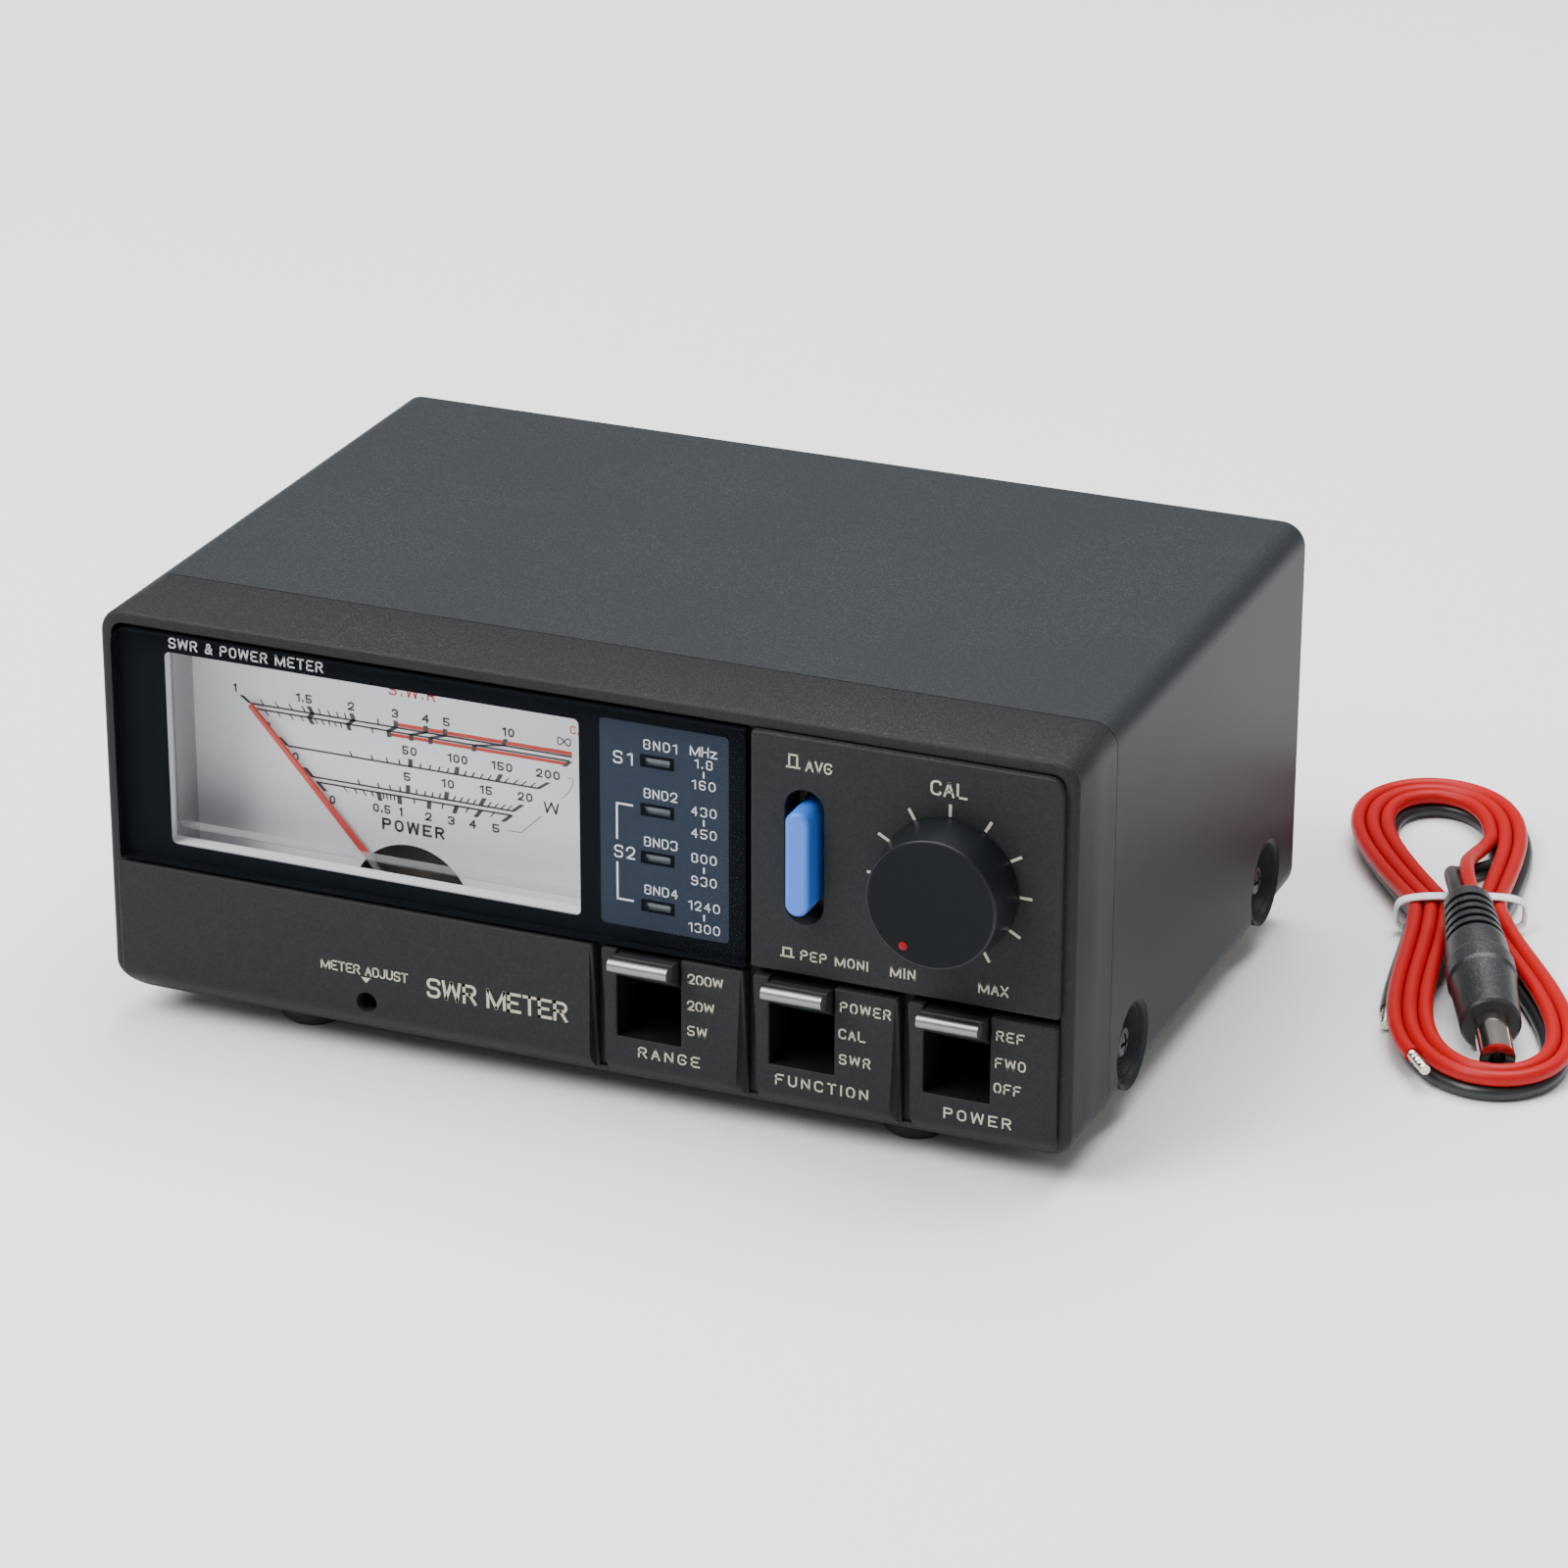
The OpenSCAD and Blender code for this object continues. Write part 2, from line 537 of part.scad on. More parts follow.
module socket_screws() color("#b8babc") at_case() for (x = socket_x, i = [-1, 1], k = [-1, 1])
    translate([x + i * 9.1, panel_y + 2.4, socket_z + k * 9.1]) rotate([-90, 0, 0]) pan_screw(2.6, 1.7, 1.5, 4.5);

module uhf_sockets() color("#c9ccce") at_case() for (i = [0, 1]) socket(socket_x[i], 6);
module n_sockets() color("#c9ccce") at_case() for (i = [2, 3]) socket(socket_x[i], 4.25);

module socket_insulators() color("#f0eee6") at_case() {
    for (i = [0, 1]) difference() {
        rod_y(socket_x[i], socket_z, 6, 99, socket_end - 2);
        rod_y(socket_x[i], socket_z, 3, 90, 130);
    }
    for (i = [2, 3]) difference() {
        rod_y(socket_x[i], socket_z, 4.25, 99, socket_end - 9);
        rod_y(socket_x[i], socket_z, 1.52, 90, 130);
    }
}

module socket_contacts() color("#d2b562") at_case() {
    for (i = [0, 1]) difference() {
        rod_y(socket_x[i], socket_z, 3, 97, socket_end - 2);
        rod_y(socket_x[i], socket_z, 2, socket_end - 16, 130);
    }
    for (i = [2, 3]) difference() {
        rod_y(socket_x[i], socket_z, 1.52, 97, socket_end - 7);
        rod_y(socket_x[i], socket_z, 0.83, socket_end - 12, 130);
    }
}

module dc_jack() color("#1b1c1e") at_case() translate([jack_at[0], 0, jack_at[1]]) difference() {
    union() {
        block([-5, 88, -5], [5, panel_y - sheet_t, 5]);
        rod_y(0, 0, 4, panel_y - sheet_t - 0.5, panel_y + 2.4);
        slab_y(panel_y, panel_y + 2) circle(6, $fn = 6);
    }
    rod_y(0, 0, 2.9, 93, 110);
}

module dc_jack_pin() color("#c9ccce") at_case() rod_y(jack_at[0], jack_at[1], 1.05, 93, panel_y + 1);

module band_switch() color("#303236") at_case() translate([band_at[0], 0, band_at[1]]) difference() {
    block([-10, 92, -3.6], [10, panel_y - sheet_t, 3.6]);
    block([-8.6, 94, -2.6], [8.6, 110, 2.6]);
}

module band_slider() color("#e8e8e4") at_case() translate([band_at[0] - 3.75, 0, band_at[1]]) {
    block([-4, 94.4, -2.2], [4, 100.4, 2.2]);
    block([-1.6, 100.4, -1.9], [1.6, 104.6, 1.9]);
}

// Supply lead: two wires in a flat hank with a waist, lying beside the case ------------
hank_at = [104, 108];                          // the tie's place in the case's own X and Y
hank_turn = 22.2;                              // heading of the hank, left of straight back
lobe_back = 44;
lobe_front = 54;
lobe_w = 10;
plug_start = 8;
half_waist = wire_d * (turns + 0.5) + wire_d / 2;
plug_tilt = 5.8;
plug_height = 8.5;

module on_lead() at_case() translate([hank_at[0], hank_at[1], -foot_h]) rotate([0, 0, hank_turn]) children();

// Teardrop half outline of one lobe, pushed out by d: a runs from 0 at the tie to 180 at the tip
function lobe(len, d, a) = let (
    y = len * (1 - cos(a)) / 2, x = lobe_w * sin(a) * (1 - cos(a)) / 2,
    ty = len * sin(a) / 2, tx = lobe_w * (cos(a) * (1 - cos(a)) + sin(a) * sin(a)) / 2,
    n = max(norm([tx, ty]), 0.001)) [x + d * ty / n, y - d * tx / n];
function lobe_side(len, d) = [for (a = [30 : 15 : 165]) lobe(len, d, a)];
function flip(p, fx, fy) = [for (q = p) [fx * q[0], fy * q[1]]];
function back_order(p) = [for (i = [len(p) - 1 : -1 : 0]) p[i]];

module lead_hank() color("#b8262a") on_lead() difference() {
    d = half_waist;
    back = lobe_side(lobe_back, d);
    front = lobe_side(lobe_front, d);
    linear_extrude(2 * wire_d) polygon(concat(
        [[d, 0]], back, [[0, lobe_back + d]], flip(back_order(back), -1, 1), [[-d, 0]],
        flip(front, -1, -1), [[0, -lobe_front - d]], flip(back_order(front), 1, -1)));
    inner = [for (a = [60 : 15 : 165]) lobe(lobe_front, wire_d / 2, a)];
    translate([0, 0, -1]) linear_extrude(10)
        polygon(concat([[1.6, -plug_start]], flip(inner, 1, -1), [[0, -lobe_front - wire_d / 2]],
                       flip(back_order(inner), -1, -1), [[-1.6, -plug_start]]));
    block([-20, -3.2, -1], [20, 3.2, 0.8]);
}

module lead_tie() color("#f2f2f2") on_lead() difference() {
    block([-half_waist - 1.5, -3, 0], [half_waist + 1.5, 3, 2 * wire_d + 1.7]);
    block([-half_waist - 0.6, -4, 0.8], [half_waist + 0.6, 4, 2 * wire_d + 0.9]);
}

module on_plug() on_lead() translate([0, -plug_start, plug_height]) rotate([90 + plug_tilt, 0, 0]) children();

module lead_plug() color("#1e2124") on_plug() difference() {
    rotate_extrude() polygon([[0, 0], [3.6, 0], [3.9, 0.6], [4.9, 15], [5.0, 19], [5.4, 20], [5.4, 23.5],
                              [5.1, 24.2], [4.7, 35.6], [4.3, 36], [0, 36]]);
    for (i = [0 : 4]) translate([0, 0, 3 + i * 2.4]) difference() {
        cylinder(r = 8, h = 1.1);
        cylinder(r = 3.3, h = 1.1);
        block([-8, -1, -1], [8, 1, 3]);
    }
}

module lead_barrel() color("#c9c2b0") on_plug() difference() {
    translate([0, 0, 36]) cylinder(r = 2.75, h = 9.5);
    translate([0, 0, 37]) cylinder(r = 1.25, h = 10);
}

front_bezel();
meter_plate();
plate_mask();
band_strip();
led_lenses();
led_bodies();
led_board();
top_cover();
chassis_base();
rear_panel();
feet();
foot_screws();
cover_screws();
bezel_screws();
meter_case();
dial_plate();
magnet_yoke();
magnet_core();
jewel_bridges();
moving_coil();
pointer();
pointer_hub();
hairsprings();
zero_adjuster();
zero_arm();
meter_lamps();
cal_knob();
knob_dot();
pot_shaft();
pot_body();
pot_nut();
avg_button();
avg_guide();
avg_switch();
range_lever();
function_lever();
power_lever();
lever_lips_range();
lever_lips_function();
lever_lips_power();
lever_pins();
lever_switches();
control_board();
board_parts();
sensor_boxes();
sensor_lines();
sensor_toroid();
uhf_sockets();
n_sockets();
socket_screws();
socket_insulators();
socket_contacts();
dc_jack();
dc_jack_pin();
band_switch();
band_slider();
lead_hank();
lead_tie();
lead_plug();
lead_barrel();
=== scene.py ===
"""A table-top SWR and power meter with its loose DC lead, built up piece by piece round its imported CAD
frame."""
import math

import bmesh
import bpy
import numpy as np
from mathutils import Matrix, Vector
from mathutils.geometry import delaunay_2d_cdt


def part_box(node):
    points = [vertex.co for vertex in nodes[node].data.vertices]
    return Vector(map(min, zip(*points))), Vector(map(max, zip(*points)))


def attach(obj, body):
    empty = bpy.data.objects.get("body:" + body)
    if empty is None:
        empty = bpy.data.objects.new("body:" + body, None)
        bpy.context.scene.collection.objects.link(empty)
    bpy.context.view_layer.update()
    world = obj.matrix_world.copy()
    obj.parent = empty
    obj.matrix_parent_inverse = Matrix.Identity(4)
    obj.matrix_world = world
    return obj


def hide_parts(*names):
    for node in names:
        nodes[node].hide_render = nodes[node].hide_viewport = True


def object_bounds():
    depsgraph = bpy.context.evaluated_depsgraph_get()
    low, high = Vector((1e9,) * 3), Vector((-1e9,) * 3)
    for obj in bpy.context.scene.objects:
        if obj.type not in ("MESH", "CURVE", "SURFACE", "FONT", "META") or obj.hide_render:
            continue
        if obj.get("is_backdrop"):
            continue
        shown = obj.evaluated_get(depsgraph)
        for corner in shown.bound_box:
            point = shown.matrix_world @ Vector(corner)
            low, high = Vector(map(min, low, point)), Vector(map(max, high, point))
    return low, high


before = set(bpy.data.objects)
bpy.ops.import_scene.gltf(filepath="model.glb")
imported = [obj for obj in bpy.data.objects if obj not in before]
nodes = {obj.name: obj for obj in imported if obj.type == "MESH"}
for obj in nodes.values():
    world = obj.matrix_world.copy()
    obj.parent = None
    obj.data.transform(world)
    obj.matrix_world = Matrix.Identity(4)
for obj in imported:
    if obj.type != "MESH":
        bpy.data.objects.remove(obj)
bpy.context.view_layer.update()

# Camera -----------------------------------------------------------------------
# A long lens standing at the right front and above. Its place is measured from the middle of the
# case's bottom front edge, which the bezel's own box gives: its pads stand 1.1 mm proud of its rim.
bezel_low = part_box("front_bezel")[0]
pad_rise = 1.1
case_zero = np.array([0.0, bezel_low.y + pad_rise / 1000, bezel_low.z])


def placed(points):
    """Millimetres from the middle of the case's bottom front edge, times 1/1000 and moved there: metres in
    the part's frame."""
    return np.asarray(points, float) / 1000 + case_zero


camera_data = bpy.data.cameras.new("camera")
camera_data.lens = 131.81
camera_data.sensor_width = 36
camera_data.clip_start, camera_data.clip_end = 0.05, 30
camera = bpy.data.objects.new("camera", camera_data)
camera.location = placed([320.146, -694.854, 377.604])
camera.rotation_euler = np.radians([66.6270, -0.1496, 22.5235])
bpy.context.scene.collection.objects.link(camera)
bpy.context.scene.camera = camera

# DC lead ------------------------------------------------------------------------
# Two PVC-insulated wires, red and black, moulded into a barrel plug at one end and stripped and tinned at
# the other. They are wound two and a half times into a hank, the black turns under the red, through a white
# tie.
tie_low, tie_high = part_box("lead_tie")
lead_turn = math.radians(22.2)
wire_d, wire_sides, wire_step, points_per_turn = 2.4, 14, 1.2, 96
tie_lift, tie_reach = 0.8, 7.0
loop_back, loop_front, loop_width = 44.0, 54.0, 10.0


def on_lead(points):
    """Millimetres in the hank's own axes, +Y along it to the back, turned by lead_turn about Z and moved to
    the tie."""
    p = np.asarray(points, float) / 1000
    c, s = math.cos(lead_turn), math.sin(lead_turn)
    x, y, z = p[..., 0], p[..., 1], p[..., 2]
    middle = (tie_low + tie_high) / 2
    return np.stack([middle.x + c * x - s * y, middle.y + s * x + c * y, z], -1)


def hank_turn(turns, out):
    """Points of the wound lead after so many turns: two half teardrops at the back and two at the front.
    Each has y = length (1 - cos a) / 2 and x = width sin a (1 - cos a) / 2, pushed along its normal by
    out."""
    quarter = np.floor(turns * 4) % 4
    part = turns * 4 - np.floor(turns * 4)
    a = np.pi * np.where(quarter % 2 == 0, part, 1 - part)
    length = np.where(quarter < 2, loop_back, loop_front)
    y, x = length * (1 - np.cos(a)) / 2, loop_width * np.sin(a) * (1 - np.cos(a)) / 2
    along_y = length * np.sin(a) / 2
    along_x = loop_width * (np.cos(a) * (1 - np.cos(a)) + np.sin(a) ** 2) / 2
    size = np.maximum(np.hypot(along_x, along_y), 1e-9)
    flat = size < 1e-6
    x = x + out * np.where(flat, 1, along_y / size)
    y = y - out * np.where(flat, 0, along_x / size)
    return x * np.where((quarter == 0) | (quarter == 3), 1, -1), y * np.where(quarter < 2, 1, -1)


def smooth_line(points, step):
    """A Catmull-Rom curve through points, cut into lengths of step: each span is a cubic whose slope at a
    point is half the line between its neighbours."""
    p = np.vstack([2 * points[0] - points[1], points, 2 * points[-1] - points[-2]])
    t = np.linspace(0, 1, 12, endpoint=False)[None, :, None]
    a, b, c, d = (p[i:len(p) - 3 + i, None, :] for i in range(4))
    fine = (b + t * (c - a) / 2 + t ** 2 * (a - 2.5 * b + 2 * c - d / 2) + t ** 3
            * (1.5 * (b - c) + (d - a) / 2))
    fine = np.vstack([fine.reshape(-1, 3), points[-1]])
    run = np.concatenate([[0], np.cumsum(np.linalg.norm(np.diff(fine, axis=0), axis=1))])
    even = np.linspace(0, run[-1], max(2, int(run[-1] / step)))
    return np.stack([np.interp(even, run, fine[:, k]) for k in range(3)], -1), run[-1]


def strand(start, first, last, height, wander):
    """A wire's centreline: its start, then the winding spiral, one wire further out each turn, lifted in
    the tie by tie_lift times e to the power of minus (y / tie_reach) squared."""
    turns = np.linspace(first, last, int((last - first) * points_per_turn))
    x, y = hank_turn(turns, wire_d * (turns + 0.5) + wander * np.sin(4 * np.pi * turns))
    z = height + tie_lift * np.exp(-(y / tie_reach) ** 2)
    return smooth_line(np.vstack([start, np.stack([x, y, z], -1)]), wire_step)


def tube_rings(path, radius, sides):
    """Rings of points round a path: at each point, radius times cos and sin round the path, in the
    directions square to it and to Z."""
    along = np.gradient(path, axis=0)
    along /= np.linalg.norm(along, axis=1, keepdims=True)
    side = np.cross(along, [0, 0, 1.0])
    side /= np.linalg.norm(side, axis=1, keepdims=True)
    up = np.cross(side, along)
    round_ = np.linspace(0, 2 * np.pi, sides, endpoint=False)[None, :, None]
    radius = np.broadcast_to(np.asarray(radius, float).reshape(-1, 1, 1), (len(path), 1, 1))
    return path[:, None] + radius * (np.cos(round_) * side[:, None] + np.sin(round_) * up[:, None])


def grid_part(grid, wrap=True, caps=(False, False), flip=False):
    """A grid of points, rows by columns, as (points, faces): neighbours make quads, wrap joins the last
    column to the first, and caps close the first and last row."""
    rows, cols = grid.shape[:2]
    number = np.arange(rows * cols).reshape(rows, cols)
    if wrap:
        number = np.hstack([number, number[:, :1]])
    near, far = number[:-1], number[1:]
    faces = np.stack([near[:, :-1], far[:, :-1], far[:, 1:], near[:, 1:]], -1).reshape(-1, 4).tolist()
    if caps[0]:
        faces.append(list(range(cols)))
    if caps[1]:
        faces.append(list(range(rows * cols - 1, rows * cols - cols - 1, -1)))
    return grid.reshape(-1, 3), [f[::-1] for f in faces] if flip else faces


def make_piece(name, parts, body, material, sharp=35, closed=False):
    """One mesh object from (points in metres, faces) parts, merged where they meet, smooth up to the sharp
    angle."""
    points, faces, start = [], [], 0
    for p, f in parts:
        points.append(p)
        faces += [[i + start for i in face] for face in f]
        start += len(p)
    mesh = bpy.data.meshes.new(name)
    mesh.from_pydata(np.vstack(points).tolist(), [], faces)
    piece = bpy.data.objects.new(name, mesh)
    bpy.context.scene.collection.objects.link(piece)
    clean(mesh, closed)
    mesh.shade_smooth()
    mesh.set_sharp_from_angle(angle=math.radians(sharp))
    mesh.materials.append(material)
    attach(piece, body)
    return piece


def clean(mesh, closed):
    """Merges points closer than 0.5 micrometre, and turns a closed shell's faces outwards."""
    b = bmesh.new()
    b.from_mesh(mesh)
    bmesh.ops.remove_doubles(b, verts=b.verts, dist=5e-7)
    if closed:
        bmesh.ops.recalc_face_normals(b, faces=b.faces)
    b.to_mesh(mesh)
    b.free()


def node_group(name, inputs, outputs):
    """An empty shader group with named sockets: inputs are (name, kind, value), outputs (name, kind)."""
    group = bpy.data.node_groups.new(name, "ShaderNodeTree")
    for socket, kind, value in inputs:
        made = group.interface.new_socket(socket, in_out="INPUT", socket_type="NodeSocket" + kind)
        made.default_value = value
    for socket, kind in outputs:
        group.interface.new_socket(socket, in_out="OUTPUT", socket_type="NodeSocket" + kind)
    return group, group.nodes.new("NodeGroupInput").outputs, group.nodes.new("NodeGroupOutput").inputs


def wire_up(tree, kind, inputs=(), **settings):
    """Adds one node, sets its settings, and fills its sockets by number or name, from a socket or with a
    value."""
    node = tree.nodes.new("ShaderNode" + kind)
    for key, value in settings.items():
        setattr(node, key, value)
    for key, value in dict(inputs).items():
        if isinstance(value, bpy.types.NodeSocket):
            tree.links.new(value, node.inputs[key])
        else:
            node.inputs[key].default_value = value
    return node


def calc(tree, operation, *terms):
    """The result of one Math node on its terms, in their order."""
    return wire_up(tree, "Math", dict(enumerate(terms)), operation=operation).outputs[0]


def noise(tree, place, scale, detail):
    """One noise texture's value at a place."""
    return wire_up(tree, "TexNoise", {"Vector": place, "Scale": scale, "Detail": detail}).outputs[0]


def toned(tree, colour, *swings):
    """The colour times 1 + the sum, over each (value, amount), of their product."""
    tone = 1.0
    for value, amount in swings:
        tone = calc(tree, "MULTIPLY_ADD", value, amount, tone)
    return wire_up(tree, "VectorMath", {0: colour, "Scale": tone}, operation="SCALE").outputs[0]


def send(tree, result, **values):
    """Joins values to a group's results, by name."""
    for name, value in values.items():
        tree.links.new(value, result[name])


# Moulded or painted skin: a broad uneven tone, a fine grain in the surface, and patches a little more or
# less shiny
skin, given, result = node_group("moulded_skin", [
    ("Colour", "Color", (0.5, 0.5, 0.5, 1)), ("Tone Scale", "Float", 20.0), ("Tone Change", "Float", 0.1),
    ("Grain Scale", "Float", 2500.0), ("Grain Tone", "Float", 0.05), ("Roughness", "Float", 0.5),
    ("Roughness Change", "Float", 0.1)], [("Colour", "Color"), ("Roughness", "Float"), ("Height", "Float")])
where = wire_up(skin, "TexCoord").outputs["Object"]
broad, grain = noise(skin, where, given["Tone Scale"], 3.0), noise(skin, where, given["Grain Scale"], 2.0)
broad_mid, grain_mid = calc(skin, "SUBTRACT", broad, 0.5), calc(skin, "SUBTRACT", grain, 0.5)
tinted = toned(skin, given["Colour"], (broad_mid, given["Tone Change"]), (grain_mid, given["Grain Tone"]))
rough = calc(skin, "MULTIPLY_ADD", broad_mid, given["Roughness Change"], given["Roughness"])
send(skin, result, Colour=tinted, Roughness=rough, Height=grain)

# Dust that settles on faces turned upwards: fine specks, thicker in broad drifts
dust_colour, dust_rough = (0.62, 0.6, 0.56, 1), 0.95
dust, given, result = node_group("settled_dust", [
    ("Colour", "Color", (0.5, 0.5, 0.5, 1)), ("Roughness", "Float", 0.5), ("Amount", "Float", 0.1)],
    [("Colour", "Color"), ("Roughness", "Float")])
where = wire_up(dust, "TexCoord").outputs["Object"]
up = wire_up(dust, "SeparateXYZ", {0: wire_up(dust, "NewGeometry").outputs["Normal"]}).outputs[2]
up = wire_up(dust, "MapRange", {0: up, 1: 0.2, 2: 1.0}).outputs[0]
specks = wire_up(dust, "MapRange", {0: noise(dust, where, 3200.0, 1.0), 1: 0.52, 2: 0.72}).outputs[0]
cover = calc(dust, "MULTIPLY", noise(dust, where, 35.0, 4.0), specks)
cover = calc(dust, "MULTIPLY", calc(dust, "MULTIPLY", cover, up), given["Amount"])
mixed = wire_up(dust, "Mix", {0: cover, 6: given["Colour"], 7: dust_colour}, data_type="RGBA").outputs[2]
dusty = wire_up(dust, "Mix", {0: cover, 2: given["Roughness"], 3: dust_rough}, data_type="FLOAT").outputs[0]
send(dust, result, Colour=mixed, Roughness=dusty)

# Drawn, turned or brushed metal: lines stretched along X, Y or Z by the three scales
lines, given, result = node_group("worked_metal",
                                  [("Colour", "Color", (0.5, 0.5, 0.5, 1)),
                                   ("Line Scale", "Vector", (20, 4000, 4000)), ("Line Tone", "Float", 0.1),
                                   ("Roughness", "Float", 0.3), ("Roughness Change", "Float", 0.2),
                                   ("Tarnish", "Float", 0.1)],
                                  [("Colour", "Color"), ("Roughness", "Float"), ("Height", "Float")])
where = wire_up(lines, "TexCoord").outputs["Object"]
stretched = wire_up(lines, "VectorMath", {0: where, 1: given["Line Scale"]}, operation="MULTIPLY").outputs[0]
streak = noise(lines, stretched, 1.0, 2.0)
streak_mid = calc(lines, "SUBTRACT", streak, 0.5)
stain_mid = calc(lines, "SUBTRACT", noise(lines, where, 90.0, 5.0), 0.5)
tinted = toned(lines, given["Colour"], (streak_mid, given["Line Tone"]), (stain_mid, given["Tarnish"]))
both = calc(lines, "ADD", streak_mid, stain_mid)
rough = calc(lines, "MULTIPLY_ADD", both, given["Roughness Change"], given["Roughness"])
send(lines, result, Colour=tinted, Roughness=rough, Height=streak)


pair_sockets = {"tone": ("Tone Scale", "Tone Change"), "grain": ("Grain Scale", "Grain Tone"),
                "line": ("Line Scale", "Line Tone"), "rough": ("Roughness", "Roughness Change")}
plain_sockets = {"metal": "Metallic", "specular": "Specular IOR Level", "alpha": "Alpha", "ior": "IOR",
                 "coat": "Coat Weight"}


def finish_of(name, colour, group=skin, dust_amount=0.0, bump=0.05, height=2e-5, shader=(), **values):
    """A material: one group gives the colour, roughness and height, dust may lie over it, and the shader's
    plain values are set on its own sockets. A pair is a scale and how much the tone varies, or a roughness
    and how much that varies."""
    material = bpy.data.materials.new(name)
    material.use_nodes = True
    tree = material.node_tree
    bsdf = tree.nodes["Principled BSDF"]
    fill = {"Colour": (*colour, 1)}
    for key, value in values.items():
        if key in pair_sockets:
            fill.update(zip(pair_sockets[key], value))
        elif key in plain_sockets:
            bsdf.inputs[plain_sockets[key]].default_value = value
        else:
            fill[key.title()] = value
    surface = wire_up(tree, "Group", node_tree=group)
    for key, value in fill.items():
        surface.inputs[key].default_value = value
    shade, rough = surface.outputs["Colour"], surface.outputs["Roughness"]
    if dust_amount:
        over = wire_up(tree, "Group", node_tree=dust)
        tree.links.new(shade, over.inputs["Colour"])
        tree.links.new(rough, over.inputs["Roughness"])
        over.inputs["Amount"].default_value = dust_amount
        shade, rough = over.outputs["Colour"], over.outputs["Roughness"]
    tree.links.new(shade, bsdf.inputs["Base Color"])
    tree.links.new(rough, bsdf.inputs["Roughness"])
    relief = wire_up(tree, "Bump",
                     {"Strength": bump, "Distance": height, "Height": surface.outputs["Height"]})
    tree.links.new(relief.outputs[0], bsdf.inputs["Normal"])
    for key, value in dict(shader).items():
        bsdf.inputs[key].default_value = value
    return material


def dress(material, *names):
    """Gives CAD nodes a material in place of their own."""
    for n in names:
        nodes[n].data.materials.clear()
        nodes[n].data.materials.append(material)


red_pvc = finish_of("red_pvc", (0.40, 0.003, 0.005), tone=(60, 0.12), grain=(1500, 0.04),
                    rough=(0.42, 0.15), bump=0.1, specular=0.2)
black_pvc = finish_of("black_pvc", (0.014, 0.016, 0.018), tone=(60, 0.2), grain=(1500, 0.05),
                      rough=(0.38, 0.15), bump=0.1)
tinned = finish_of("tinned_copper", (0.72, 0.68, 0.6), group=lines, line=((900, 900, 900), 0.5),
                   rough=(0.3, 0.2), tarnish=0.4, bump=0.5, height=1e-4, metal=1.0)
red_start = [[1.2, -8, 8.5], [1.2, -4, 8.4], [1.2, 0, 8.2], [1.4, 6, 7.8], [2.2, 12, 6.9], [4.0, 18, 5.4],
             [5.8, 23, 4.2]]
black_start = [[-1.2, -8, 8.5], [-1.2, -4, 8.4], [-1.2, 0, 8.1], [-0.8, 8, 6.6], [0.6, 13, 4.4],
               [3.0, 18, 2.4]]
wires = {"red": strand(red_start, first=0.148, last=2.70, height=3.6, wander=0.0),
         "black": strand(black_start, first=0.132, last=2.64, height=1.2, wander=1.0)}

# The far ends are stripped: a tip runs from inside the insulation to 5.5 mm out, its strands a shallow wave
# in its radius.
tip_from, tip_to, tip_rings, tip_sides, tip_r, strand_wave, strand_step = -0.8, 5.5, 24, 10, 0.75, 0.1, 2.4
tip_radius = tip_r + strand_wave * np.cos(np.arange(tip_rings) * strand_step)
tips = []
for line, run in wires.values():
    ends = line[[-2, -1]]
    away = (ends[1] - ends[0]) / np.linalg.norm(ends[1] - ends[0])
    tip_line = ends[1] + away * np.linspace(tip_from, tip_to, tip_rings)[:, None]
    tips.append(grid_part(on_lead(tube_rings(tip_line, tip_radius, tip_sides)), caps=(True, True)))
lead_tips = make_piece("lead_tips", tips, "case", tinned, closed=True)
for (colour, (line, run)), pvc in zip(wires.items(), (red_pvc, black_pvc)):
    rings = on_lead(tube_rings(line, wire_d / 2, wire_sides))
    make_piece("lead_wire_" + colour, [grid_part(rings, caps=(True, True))], "case",
                               pvc, closed=True)
    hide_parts("lead_hank")

# The tie is a soft white band pulled round the hank's waist. Its loop is cos and sin, each divided by the
# fourth root of the sum of their fourth powers, and its section is an oval.
tie_white = finish_of("tie_white", (0.82, 0.82, 0.83), tone=(80, 0.06), grain=(2000, 0.05), rough=(0.5, 0.1),
                      bump=0.1, shader={"Subsurface Weight": 0.15, "Subsurface Radius": (0.002, 0.002, 0.002),
                                        "Subsurface Scale": 0.5})
tie_half_w, tie_half_h, tie_middle_z, band_thick, band_wide, band_slant = 10.15, 2.85, 3.25, 0.42, 1.15, 0.5
around_tie = np.linspace(0, 2 * np.pi, 96, endpoint=False)
power_4 = np.abs(np.cos(around_tie)) ** 4 + np.abs(np.sin(around_tie)) ** 4
tie_x = tie_half_w * np.cos(around_tie) / power_4 ** 0.25
tie_z = tie_middle_z + tie_half_h * np.sin(around_tie) / power_4 ** 0.25
slope = np.stack([np.roll(tie_x, -1) - np.roll(tie_x, 1), np.roll(tie_z, -1) - np.roll(tie_z, 1)])
slope /= np.linalg.norm(slope, axis=0)
section = np.linspace(0, 2 * np.pi, 16, endpoint=False)[None, :]
band = np.stack([tie_x[:, None] + band_thick * np.cos(section) * slope[1][:, None],
                 band_wide * np.sin(section) + band_slant * np.sin(around_tie)[:, None],
                 tie_z[:, None] - band_thick * np.cos(section) * slope[0][:, None]], -1)
band = np.concatenate([band, band[:1]])
lead_tie = make_piece("tie_band", [grid_part(on_lead(band))], "case", tie_white, closed=True)
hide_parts("lead_tie")

